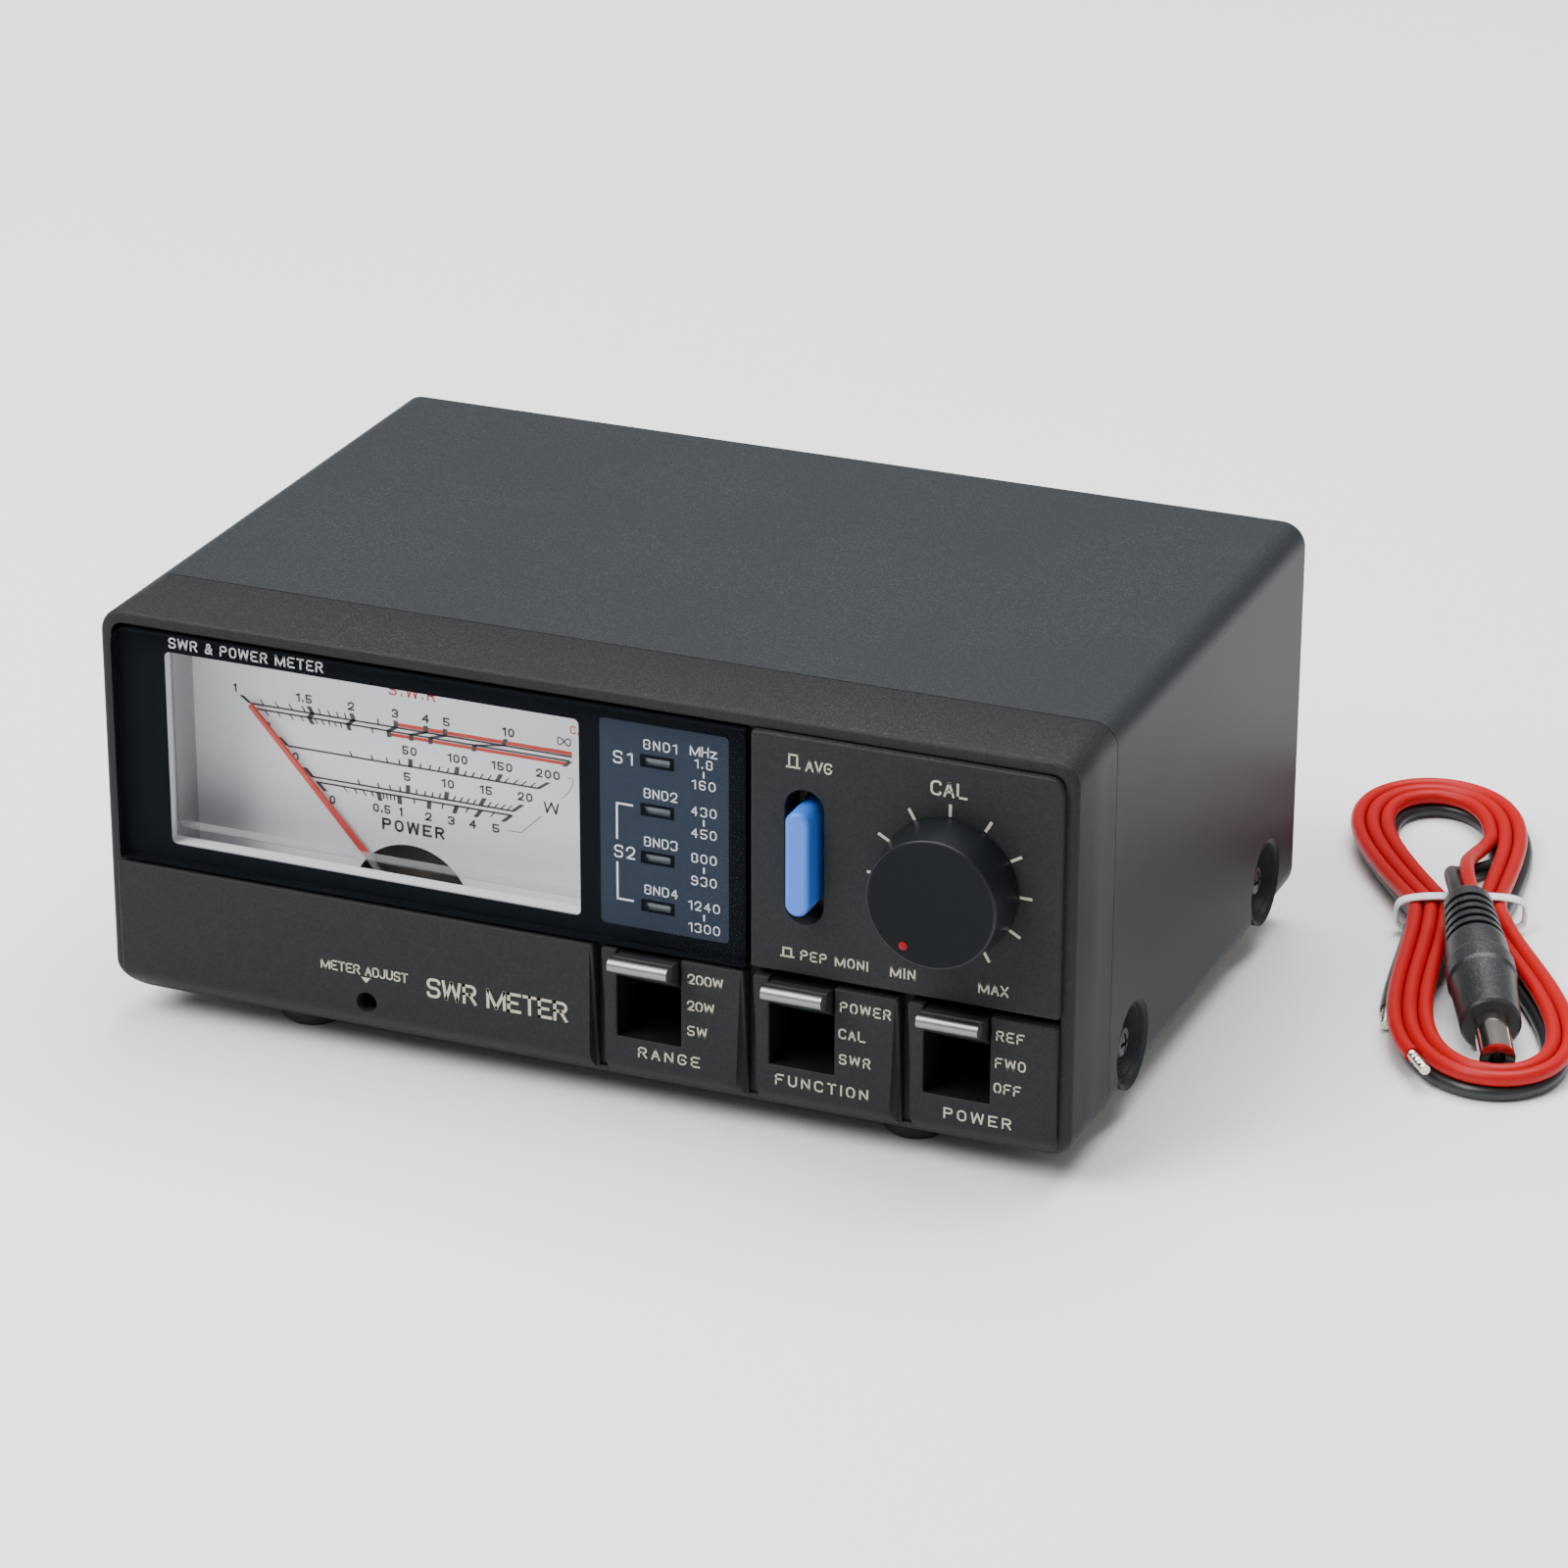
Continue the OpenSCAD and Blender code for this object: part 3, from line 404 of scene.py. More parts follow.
plug_pvc = finish_of("plug_pvc", (0.013, 0.0145, 0.017), tone=(70, 0.25), grain=(1300, 0.08),
                     rough=(0.4, 0.25), bump=0.2, dust_amount=0.2)
barrel_nickel = finish_of("barrel_nickel", (0.74, 0.7, 0.63), group=lines, line=((3000, 20, 3000), 0.06),
                          rough=(0.16, 0.15), tarnish=0.15, metal=1.0)
dress(plug_pvc, "lead_plug")
dress(barrel_nickel, "lead_barrel")

# Floor and light ------------------------------------------------------------------
# A pale table top and three large soft lamps: one over the left front, a weaker one at the right and one
# above the back.
floor_mesh = bpy.data.meshes.new("floor")
floor_mesh.from_pydata([(-4, -4, 0), (4, -4, 0), (4, 4, 0), (-4, 4, 0)], [], [(0, 1, 2, 3)])
floor = bpy.data.objects.new("floor", floor_mesh)
bpy.context.scene.collection.objects.link(floor)
floor_mesh.materials.append(finish_of("table_top", (0.9, 0.9, 0.9), tone=(2, 0.01), grain=(800, 0.005),
                                      rough=(0.6, 0.1), bump=0.02))
floor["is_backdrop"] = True
room_light = 0.3
world = bpy.data.worlds.new("room")
world.use_nodes = True
world.node_tree.nodes["Background"].inputs[0].default_value = (1, 1, 1, 1)
world.node_tree.nodes["Background"].inputs[1].default_value = room_light
bpy.context.scene.world = world
lamp_aim = Vector((0, 0, 0.03))
lamps = (("key", (-0.9, -0.9, 1.5), 1.2, 64), ("fill", (1.6, -0.7, 0.8), 1.2, 3),
         ("top", (0.1, 0.5, 1.8), 1.4, 56))
for name, place, size, power in lamps:
    lamp_data = bpy.data.lights.new(name, "AREA")
    lamp_data.size, lamp_data.energy = size, power
    lamp = bpy.data.objects.new(name, lamp_data)
    lamp.location = place
    lamp.rotation_euler = (lamp_aim - Vector(place)).to_track_quat("-Z", "Y").to_euler()
    bpy.context.scene.collection.objects.link(lamp)

# Front bezel ----------------------------------------------------------------------
# One moulding of dark ABS with a fine spark-eroded grain. A narrow rim runs round it and five pads stand in
# its channel, turning back at their foot. It slides over the base and is held by a screw at each side.
case_w, case_h, seam_y = 155.0, 62.8, 16.3
rim_w, floor_y, wall_back = 2.0, 1.6, 4.5
turn_start, turn_depth = 5.2, 5.0
edge_flat, net_gap = 0.25, 0.3
knob_at, slot_at, adjuster_at = (58.74, 41.75), (36.5, 42.2), (-34.2, 6.1)
lever_x, notch_half, notch_low = (12.0, 36.2, 60.25), 5.1, 8.4


def outline(corners, inset=0.0, steps=6):
    """A closed line of straight edges with round corners (x, z, radius), anticlockwise from the front,
    moved in by inset. Each corner is an arc about the point that stands the radius away from both of its
    moved edges."""
    c = np.asarray(corners, float)
    ahead = np.roll(c[:, :2], -1, 0) - c[:, :2]
    ahead /= np.linalg.norm(ahead, axis=1, keepdims=True)
    out_next = np.stack([ahead[:, 1], -ahead[:, 0]], -1)
    out_last, behind = np.roll(out_next, 1, 0), np.roll(ahead, 1, 0)
    side = np.where(behind[:, 0] * ahead[:, 1] - behind[:, 1] * ahead[:, 0] > 0, 1.0, -1.0)
    radius = np.maximum(c[:, 2] - side * inset, 1e-3)
    both = np.stack([out_last, out_next], 1)
    back = -(inset + side * radius)
    middle = c[:, :2] + np.linalg.solve(both, np.stack([back, back], -1)[..., None])[..., 0]
    first = np.arctan2(side * out_last[:, 1], side * out_last[:, 0])
    sweep = np.arctan2(side * out_next[:, 1], side * out_next[:, 0]) - first
    sweep = (sweep + np.pi) % (2 * np.pi) - np.pi
    angle = first[:, None] + sweep[:, None] * np.linspace(0, 1, steps + 1)
    arc = radius[:, None, None] * np.stack([np.cos(angle), np.sin(angle)], -1)
    return (middle[:, None] + arc).reshape(-1, 2)


def oblong(x0, x1, z0, z1, *radii):
    """Four corners, anticlockwise from the bottom left, with one radius for all or one for each."""
    r = radii * 4 if len(radii) == 1 else radii
    return [(x0, z0, r[0]), (x1, z0, r[1]), (x1, z1, r[2]), (x0, z1, r[3])]


def disc(middle, radius):
    """A round hole as an oblong whose corners meet."""
    x, z = middle
    return oblong(x - radius, x + radius, z - radius, z + radius, radius)


def flat_face(loops, step=0.0):
    """A flat front between closed lines: their points and, if step is set, a net of points inside them
    where the face turns back, in Delaunay triangles, leaving out those in holes. A point is inside if a
    line from it crosses the loops an odd number of times."""
    def inside(points):
        odd = np.zeros(len(points), bool)
        for loop in loops:
            a, b = loop[None], np.roll(loop, -1, 0)[None]
            p = points[:, None]
            spans = (a[..., 1] > p[..., 1]) != (b[..., 1] > p[..., 1])
            rise = np.where(b[..., 1] == a[..., 1], 1, b[..., 1] - a[..., 1])
            crossing = a[..., 0] + (p[..., 1] - a[..., 1]) / rise * (b[..., 0] - a[..., 0])
            odd ^= (spans & (p[..., 0] < crossing)).sum(1) % 2 == 1
        return odd
    points = np.vstack(loops)
    edges, start = [], 0
    for loop in loops:
        edges += [(start + i, start + (i + 1) % len(loop)) for i in range(len(loop))]
        start += len(loop)
    if step:
        low, high = points.min(0), points.max(0)
        columns = np.arange(low[0], high[0], 3 * step)
        rows = np.arange(low[1], min(high[1], turn_start + 1), step)
        net = np.stack(np.meshgrid(columns, rows), -1).reshape(-1, 2)
        near = np.linalg.norm(net[:, None] - points[None], axis=2).min(1)
        points = np.vstack([points, net[inside(net) & (near > net_gap)]])
    made = delaunay_2d_cdt(points.tolist(), edges, [], 0, 1e-5)
    flat, triangles = np.array([tuple(v) for v in made[0]]), np.array(made[2])
    return flat, triangles[inside(flat[triangles].mean(1))].tolist()


def turned_back(z, most):
    """How far a face stands back at height z: nothing above turn_start, then most times the square of the
    drop below it."""
    return most * np.maximum(turn_start - z, 0) ** 2


def plate(corners, front, back, edge, holes=(), most=0.0, hole_edge=0.15, step=0.0):
    """A plate's front with rounded edges, its sides and the walls of its holes: a quarter-round profile,
    (inset, depth), carried round each outline."""
    def side(line, radius, sign):
        bow = np.linspace(0, np.pi / 2, 5)
        inset = np.concatenate([[radius + edge_flat], radius * (1 - np.sin(bow)), [0]])
        depth = np.concatenate([[0], radius * (1 - np.cos(bow)), [back - front]])
        loops = [outline(line, sign * i) for i in inset]
        z = np.stack([loop[:, 1] for loop in loops])
        y = np.minimum(front + depth[:, None] + turned_back(z, most), max(back, front + depth.max()))
        return loops[0], np.stack([np.stack([loop[:, 0] for loop in loops]), y, z], -1)
    rim_loop, rim_grid = side(corners, edge, 1)
    parts, loops = [grid_part(rim_grid)], [rim_loop]
    for hole in holes:
        loop, grid = side(hole, hole_edge, -1)
        parts.append(grid_part(grid, flip=True))
        loops.append(loop)
    flat, triangles = flat_face(loops, step)
    face = np.stack([flat[:, 0], front + turned_back(flat[:, 1], most), flat[:, 1]], -1)
    return [(placed(p), f) for p, f in parts + [(face, triangles)]]


bezel_grain = finish_of("bezel_grain", (0.018, 0.0188, 0.0208), tone=(14, 0.16), grain=(2600, 0.75),
                        rough=(0.5, 0.16), bump=0.5, height=5e-5, dust_amount=0.06,
                        specular=0.09)
case_line = oblong(-case_w / 2, case_w / 2, 0, case_h, 5.0, 5.0, 3.8, 3.8)
rim_round, rim_foot, rim_turn, pad_turn, seam_round, skirt_y = 0.9, 0.25, 0.10, 0.165, 0.2, 6.0
bow = np.linspace(0, np.pi / 2, 6)
rim_inset = np.concatenate([[seam_round, 0, 0], rim_round * (1 - np.cos(bow)),
                            rim_w - rim_foot + rim_foot * np.sin(bow), [rim_w, rim_w]])
rim_depth = np.concatenate([[seam_y, seam_y - seam_round, skirt_y], rim_round * (1 - np.sin(bow)), [0],
                            rim_foot * (1 - np.cos(bow)), [floor_y]])
rim_loops = [outline(case_line, i, 10) for i in rim_inset]
rim_z = np.stack([loop[:, 1] for loop in rim_loops])
rim_y = rim_depth[:, None] + turned_back(rim_z, rim_turn) * (rim_depth[:, None] < turn_depth)
rim_y[-1] = floor_y
bezel_parts = [grid_part(np.stack([np.stack([loop[:, 0] for loop in rim_loops]), rim_y, rim_z], -1),
                         flip=True)]
cal_pad = oblong(28.2, 75.7, 23.6, 60.6, 0.5, 0.5, 2.6, 0.5)
clear_box = oblong(-75.4, 27.3, 22.8, 60.2, 0.5, 0.5, 0.5, 2.6)
foot_z, top_z, window_top, notch_r, pad_edge, under_pad = 1.2, 22.3, 23.2, 0.3, 0.3, 0.9
pads = [(cal_pad, [disc(knob_at, 3.7), oblong(33.5, 39.5, 31.7, 52.7, 3.0)])]
pads.append((oblong(-75.8, 3.1, foot_z, top_z, 2.6, 0.5, 0.5, 0.5), [disc(adjuster_at, 1.65)]))
for x, x0, x1, r0, r1 in zip(lever_x, (4.4, 28.5, 52.6), (27.1, 51.2, 75.5), (0.5, 0.5, 0.5),
                             (0.5, 0.5, 2.6)):
    left, right = x - notch_half, x + notch_half
    pads.append(([(x0, foot_z, r0), (x1, foot_z, r1), (x1, top_z, 0.5), (right, top_z, notch_r),
                  (right, notch_low, notch_r), (left, notch_low, notch_r), (left, top_z, notch_r),
                  (x0, top_z, 0.5)], []))
windows = [oblong(x - notch_half, x + notch_half, notch_low, window_top, notch_r) for x in lever_x]
groove_loops = [outline(case_line, rim_w, 10)] + [outline(line, under_pad) for line, _ in pads]
groove_loops += [outline(clear_box, under_pad)] + [outline(line) for line in windows]
flat, triangles = flat_face(groove_loops)
bezel_parts.append((np.stack([flat[:, 0], np.full(len(flat), floor_y), flat[:, 1]], -1), triangles))
bezel_parts = [(placed(p), f) for p, f in bezel_parts]
for line, holes in pads:
    bezel_parts += plate(line, -pad_rise, wall_back, pad_edge, holes, most=pad_turn, hole_edge=0.12, step=0.7)
bezel = make_piece("bezel", bezel_parts, "case", bezel_grain, sharp=50)
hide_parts("front_bezel")


# The bezel's legends are screen-printed in one warm grey ink. Each character is drawn with a pen of one
# width along lines on a grid 4 wide and 6 high: two figures are a point's x and y, a star rounds the
# corner, a slash lifts the pen.
pen_lines = {"0": "20 40* 46* 06* 00* 20", "1": "15 36 30", "2": "04 06* 46* 43* 00 40",
             "3": "05 06* 46* 43* 23/23 43* 40* 00* 01", "4": "30 36 02 42", "5": "46 06 03 43* 40* 00* 01",
             "6": "45 46* 06* 00* 40* 43* 03* 02", "8": "23 43* 46* 06* 03* 23/23 43* 40* 00* 03* 23",
             "9": "01 00* 40* 46* 06* 03* 43* 44", "A": "00 26 40/12 32",
             "B": "00 06 46* 43* 03/23 43* 40* 00", "C": "45 46* 06* 00* 40* 41", "D": "00 06 46* 40* 00",
             "E": "46 06 00 40/03 33", "F": "00 06 46/03 33", "G": "45 46* 06* 00* 40* 43 23",
             "H": "00 06/40 46/03 43", "I": "00 06", "J": "36 30* 00* 01", "L": "06 00 40",
             "M": "00 06 30 66 60", "N": "00 06 40 46", "O": "20 40* 46* 06* 00* 20", "P": "00 06 46* 43* 03",
             "R": "00 06 46* 43* 03/23 40", "S": "45 46* 06* 03* 43* 40* 00* 01", "T": "06 46/26 20",
             "U": "06 00* 40* 46", "V": "06 20 46", "W": "06 10 36 50 66", "X": "00 46/06 40",
             "z": "04 44 00 40", "&": "40 14 16* 36* 34* 02* 00* 30* 43", ".": "00 01", " ": ""}
gap_least, gap_most, space_w = 1.6, 3.2, 1.5


def pen_line(points):
    """Pen lines through grid points, broken at each sharp corner. A starred corner is a quarter ellipse
    that begins up to 2 units from it."""
    p = np.array([(float(q[0]), float(q[1])) for q in points])
    lines = [[p[:1]]]
    for i in range(1, len(p) - 1):
        last, ahead = p[i - 1] - p[i], p[i + 1] - p[i]
        if points[i][2:] != "*":
            lines[-1].append(p[i:i + 1])
            lines.append([p[i:i + 1]])
            continue
        free = [ends or points[j][2:] != "*" for ends, j in ((i == 1, i - 1), (i == len(p) - 2, i + 1))]
        size = min(2.0, *(np.linalg.norm(v) * (1.0 if f else 0.5) for v, f in zip((last, ahead), free)))
        t = np.linspace(0, np.pi / 2, 7)[:, None]
        lines[-1].append(p[i] + size * ((1 - np.sin(t)) * last / np.linalg.norm(last) + (1 - np.cos(t))
                                        * ahead / np.linalg.norm(ahead)))
    lines[-1].append(p[-1:])
    return [np.vstack(line) for line in lines]


def pen_strip(line, thick):
    """A line's flat strip, half the pen's thickness to each side and past each end: side = sum of both
    normals / its square."""
    line = line[np.concatenate([[True], np.linalg.norm(np.diff(line, axis=0), axis=1) > 1e-6])]
    ahead = np.diff(line, axis=0)
    ahead /= np.linalg.norm(ahead, axis=1, keepdims=True)
    line = line + np.vstack([-ahead[:1], np.zeros((len(line) - 2, 2)), ahead[-1:]]) * thick / 2
    normal = np.stack([-ahead[:, 1], ahead[:, 0]], -1)
    both = np.vstack([normal[:1], normal]) + np.vstack([normal, normal[-1:]])
    side = thick * both / (both ** 2).sum(1, keepdims=True)
    n = len(line)
    return np.vstack([line - side, line + side]), [(i, i + 1, n + i + 1, n + i) for i in range(n - 1)]


def letters(text, middle, cap, width, weight=0.145):
    """A line of drawn characters, cap high and width long about the middle (x, z); the gaps between them
    take up the rest of the width."""
    thick = weight * cap
    scale = (cap - thick) / 6
    drawn = [[line for stroke in pen_lines[c].split("/") for line in pen_line(stroke.split())] if c != " "
             else [] for c in text]
    wide = [max((line[:, 0].max() for line in lines), default=space_w) for lines in drawn]
    left = [min((line[:, 0].min() for line in lines), default=0) for lines in drawn]
    room = (width - thick) / scale - sum(w - l for w, l in zip(wide, left))
    gap = float(np.clip(room / max(len(text) - 1, 1), gap_least, gap_most))
    length = sum(w - l for w, l in zip(wide, left)) + gap * (len(text) - 1)
    across = (width - thick) / length if length > 0.5 else 1.0
    points, faces, x, start = [], [], -length / 2, 0
    for lines, w, l in zip(drawn, wide, left):
        for line in lines:
            flat, quads = pen_strip((line + (x - l, -3.0)) * (across, scale), thick)
            points.append(flat)
            faces += [tuple(start + k for k in quad) for quad in quads]
            start += len(flat)
        x += w - l + gap
    return np.vstack(points) + middle, faces


def boxes(corners):
    """Flat print with one face to each row of four corners."""
    return corners.reshape(-1, 2), np.arange(corners.size // 2).reshape(-1, 4).tolist()


def bars(rows):
    """Slanting bars with level ends: each row is x and z at one end, x and z at the other, and the width
    along x."""
    x0, z0, x1, z1, w = np.asarray(rows, float).T
    x0, x1 = np.where(z1 < z0, (x1, x0), (x0, x1))
    z0, z1 = np.minimum(z0, z1), np.maximum(z0, z1)
    x = np.stack([x0 - w / 2, x0 + w / 2, x1 + w / 2, x1 - w / 2], -1)
    return boxes(np.stack([x, np.stack([z0, z0, z1, z1], -1)], -1))


def rods(rows):
    """Straight strokes with square ends: each row is x, z at one end, x, z at the other, and the thickness
    across."""
    r = np.asarray(rows, float)
    a, b, half = r[:, :2], r[:, 2:4], r[:, 4:] / 2
    n = (b - a) / np.linalg.norm(b - a, axis=1, keepdims=True)
    n = np.stack([-n[:, 1], n[:, 0]], -1) * half
    return boxes(np.stack([a - n, b - n, b + n, a + n], 1))


def flat_box(x0, x1, z0, z1):
    """One rectangle as flat print."""
    return np.array([(x0, z0), (x1, z0), (x1, z1), (x0, z1)], float), [(0, 1, 2, 3)]


def printed(name, flats, depth, material, most=0.0):
    """Flat print (points, faces), facing the front, as one piece. It lies at y = depth, turned back by
    most."""
    parts = []
    for p, f in flats:
        parts.append((placed(np.stack([p[:, 0], depth + turned_back(p[:, 1], most), p[:, 1]], -1)), f))
    return make_piece(name, parts, "case", material)


ink = finish_of("legend_ink", (0.40, 0.40, 0.31), tone=(400, 0.12), grain=(4000, 0.12),
                rough=(0.55, 0.1), bump=0.05)
legends = [("200W", 21.05, 19.8, 1.6, 5.6), ("20W", 20.3, 15.5, 1.6, 4.3), ("5W", 19.75, 11.4, 1.6, 3.1),
           ("RANGE", 15.2, 6.4, 1.75, 9.9), ("POWER", 46.15, 19.7, 1.65, 7.9), ("CAL", 44.1, 15.4, 1.65, 4.2),
           ("SWR", 44.55, 11.3, 1.65, 4.9), ("FUNCTION", 39.4, 6.2, 1.75, 14.6),
           ("REF", 68.4, 19.6, 1.65, 4.3), ("FWD", 68.5, 15.3, 1.65, 4.7), ("OFF", 68.1, 11.3, 1.65, 4.2),
           ("POWER", 63.6, 5.8, 1.75, 10.4), ("AVG", 38.7, 56.6, 1.75, 4.1),
           ("PEP MONI", 41.25, 26.8, 1.6, 10.5), ("CAL", 58.5, 56.5, 2.3, 5.6),
           ("MIN", 51.85, 26.75, 1.7, 3.9), ("MAX", 65.7, 26.7, 1.7, 4.6),
           ("METER ADJUST", -34.45, 11.4, 1.6, 14.5), ("SWR METER", -12.6, 10.6, 3.2, 23.0)]
front_print = [letters(text, (x, z), cap, width) for text, x, z, cap, width in legends]

# Eleven ticks stand round the knob, and a small sign for the key out and in: a box on a ground line.
ink_rise, tick_in, tick_out, tick_w = 0.02, 10.65, 12.55, 0.45
tick = np.radians(np.arange(-150, 151, 30))
around = np.stack([np.sin(tick), np.cos(tick)], -1)
front_print.append(rods(np.hstack([knob_at + tick_in * around, knob_at + tick_out * around,
                                   np.full((len(tick), 1), tick_w)])))
ground, leg, lid, pen = 1.1, 0.62, 0.76, 0.28
for x, z, high in ((34.77, 56.0, 1.9), (33.95, 26.2, 1.3)):
    front_print.append(rods([(x - ground, z, x + ground, z, pen), (x - leg, z, x - leg, z + high, pen),
                             (x + leg, z, x + leg, z + high, pen),
                             (x - lid, z + high, x + lid, z + high, pen)]))
front_print.append((np.array([(-35.0, 10.3), (-34.2, 9.4), (-33.4, 10.3)]), [(0, 1, 2)]))
printed("front_legends", front_print, -pad_rise - ink_rise, ink, most=pad_turn)

# Clear plate -------------------------------------------------------------------
# A 2.4 mm acrylic plate with rounded edges, stuck over the meter and the band lamps. Its back is printed
# near-black round the meter's window, with a slate panel for the lamps and white titles, and a near-black
# sheet lines the inside of its edge. The title's reflection in the top edge is painted in as a second,
# fainter print.
plate_back, mask_y, panel_y, print_y, painted_reflection_y = 1.33, 1.27, 1.25, 1.22, 1.2
plate_edge, sheet_front, sheet_gap = 0.35, -0.7, 0.03
window_line, panel_line = oblong(-67.4, 0.2, 25.6, 56.8, 0.9), oblong(3.6, 23.7, 25.4, 57.7, 0.6)
acrylic = finish_of("clear_acrylic", (0.02, 0.022, 0.024), tone=(30, 0.05), rough=(0.3, 0.04),
                    bump=0.0, alpha=0.03, ior=1.2)
clear_parts = plate(clear_box, -pad_rise, plate_back, plate_edge)
flat, triangles = flat_face([outline(clear_box)])
clear_parts.append((placed(np.insert(flat, 1, plate_back, axis=1)), [face[::-1] for face in triangles]))
clear_plate = make_piece("clear_plate", clear_parts, "case", acrylic, sharp=50, closed=True)
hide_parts("meter_plate")
mask_black = finish_of("mask_print", (0.0045, 0.006, 0.008), tone=(12, 0.08), grain=(3000, 0.2),
                       rough=(0.8, 0.1), bump=0.03, specular=0.02)
slate = finish_of("slate_print", (0.025, 0.034, 0.050), tone=(25, 0.06), grain=(1400, 0.22),
                  rough=(0.8, 0.1), bump=0.03, specular=0.03)
mask_lines = [outline(oblong(-75.2, 27.1, 23.0, 60.0, 0.4)), outline(window_line, 0.02),
              outline(panel_line, 0.04)]
mask = printed("mask_print", [flat_face(mask_lines)], mask_y, mask_black)
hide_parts("plate_mask")
# A near-black sheet lines the inside of the plate's edge, just within its clear wall, from near the front to
# the back.
edge_line = outline(clear_box, sheet_gap)
edge_wall = np.stack([np.insert(edge_line, 1, y, axis=1) for y in (sheet_front, plate_back - sheet_gap)])
make_piece("plate_edge_black_sheet", [grid_part(placed(edge_wall))], "case", mask_black)
white_ink = finish_of("white_ink", (0.62, 0.64, 0.66), tone=(400, 0.08), grain=(4000, 0.1),
                      rough=(0.5, 0.1), bump=0.03)
printed("title_print", [letters("SWR & POWER METER", (-53.8, 58.35), 1.7, 25.6)], print_y, white_ink)
# Painted reflection: a small, pale, half-clear copy of the title printed along the plate's top edge.
painted_title_reflection_ink = finish_of("painted_title_reflection_ink", (0.5, 0.51, 0.53), tone=(400, 0.1), rough=(0.4, 0.1), bump=0.03, alpha=0.6)
printed("painted_title_reflection", [letters("SWR & POWER METER", (-53.6, 59.78), 0.6, 25.6)], painted_reflection_y, painted_title_reflection_ink)

# The band panel has four lamps, each behind a smoked lens in a dark printed frame.
led_left, led_right, led_z = 9.95, 15.2, (52.1, 44.4, 36.85, 29.15)
lens_in, lens_half, frame_out, frame_half, corner = 0.62, 0.52, 0.05, 1.0, 0.1
bands = [("S1", 7.2, 52.0, 2.0, 3.1), ("S2", 7.35, 37.1, 2.0, 3.3), ("MHz", 19.9, 54.95, 1.6, 4.3),
         ("1.8", 19.9, 53.0, 1.45, 2.8), ("160", 19.9, 49.7, 1.5, 3.7), ("430", 19.9, 45.5, 1.5, 4.0),
         ("450", 19.9, 42.05, 1.5, 4.0), ("800", 19.9, 38.1, 1.5, 4.0), ("930", 19.9, 34.5, 1.5, 4.0),
         ("1240", 19.9, 30.5, 1.5, 5.0), ("1300", 19.9, 27.0, 1.5, 5.0)]
bands += [(f"BND{i + 1}", 13.1, 54.7 - 7.65 * i, 1.55, 5.3) for i in range(4)]
strip_print = [letters(text, (x, z), cap, width, 0.12) for text, x, z, cap, width in bands]
bracket = [(6.17, 44.7, 6.17, 39.0, 0.3), (6.02, 44.7, 8.75, 44.7, 0.3), (6.17, 35.4, 6.17, 29.5, 0.3),
           (6.02, 29.5, 8.75, 29.5, 0.3)]
dashes = [(19.9, z - 0.5, 19.9, z + 0.5, 0.25) for z in (51.35, 43.8, 36.3, 28.75)]
strip_print.append(rods(bracket + dashes))
printed("band_print", strip_print, print_y, white_ink)
lens_lines = [oblong(led_left + lens_in, led_right - lens_in, z - lens_half, z + lens_half, corner)
              for z in led_z]
panel_face = flat_face([outline(panel_line, -0.1)] + [outline(line) for line in lens_lines])
panel = printed("slate_panel", [panel_face], panel_y, slate)
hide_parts("band_strip")
frames = []
for z, line in zip(led_z, lens_lines):
    box = oblong(led_left - frame_out, led_right + frame_out, z - frame_half, z + frame_half, corner)
    frames.append(flat_face([outline(box), outline(line)]))
printed("lamp_frames", frames, print_y, mask_black)
smoked = finish_of("smoked_lens", (0.11, 0.135, 0.15), tone=(300, 0.2), grain=(1500, 0.05), rough=(0.25, 0.1),
                   bump=0.05)
dress(smoked, "led_lenses")

# Dial -----------------------------------------------------------------------------
# A satin aluminium plate painted off-white and printed in grey and red. Its two SWR scales and three power
# scales are ruled straight, with ticks that lean along the pointer's radius. The figures of a print are x
# and z in millimetres, then its size.
dial_y = 15.0
grey_y, red_y = dial_y - 0.03, dial_y - 0.02
dial_shift = np.array([0.4, 0.25])
dial_ink = finish_of("dial_ink", (0.05, 0.051, 0.057), tone=(300, 0.08), rough=(0.6, 0.1), bump=0.02)
dial_red = finish_of("dial_red", (0.55, 0.045, 0.028), tone=(300, 0.08), rough=(0.6, 0.1), bump=0.02)
dial_white = finish_of("dial_paint", (0.78, 0.795, 0.83), tone=(18, 0.06), grain=(2200, 0.06),
                       rough=(0.55, 0.1), bump=0.06)
dress(dial_white, "dial_plate")


def scale_marks(z_line, z_end, z_major, thin, thick):
    """Ticks of one scale: (x on the line, x at the tip), thin ones up to z_end and thick ones up to
    z_major."""
    return bars([(a, z_line, b, z_end, thin_w) for a, b in thin]
                + [(a, z_line, b, z_major, thick_w) for a, b in thick])


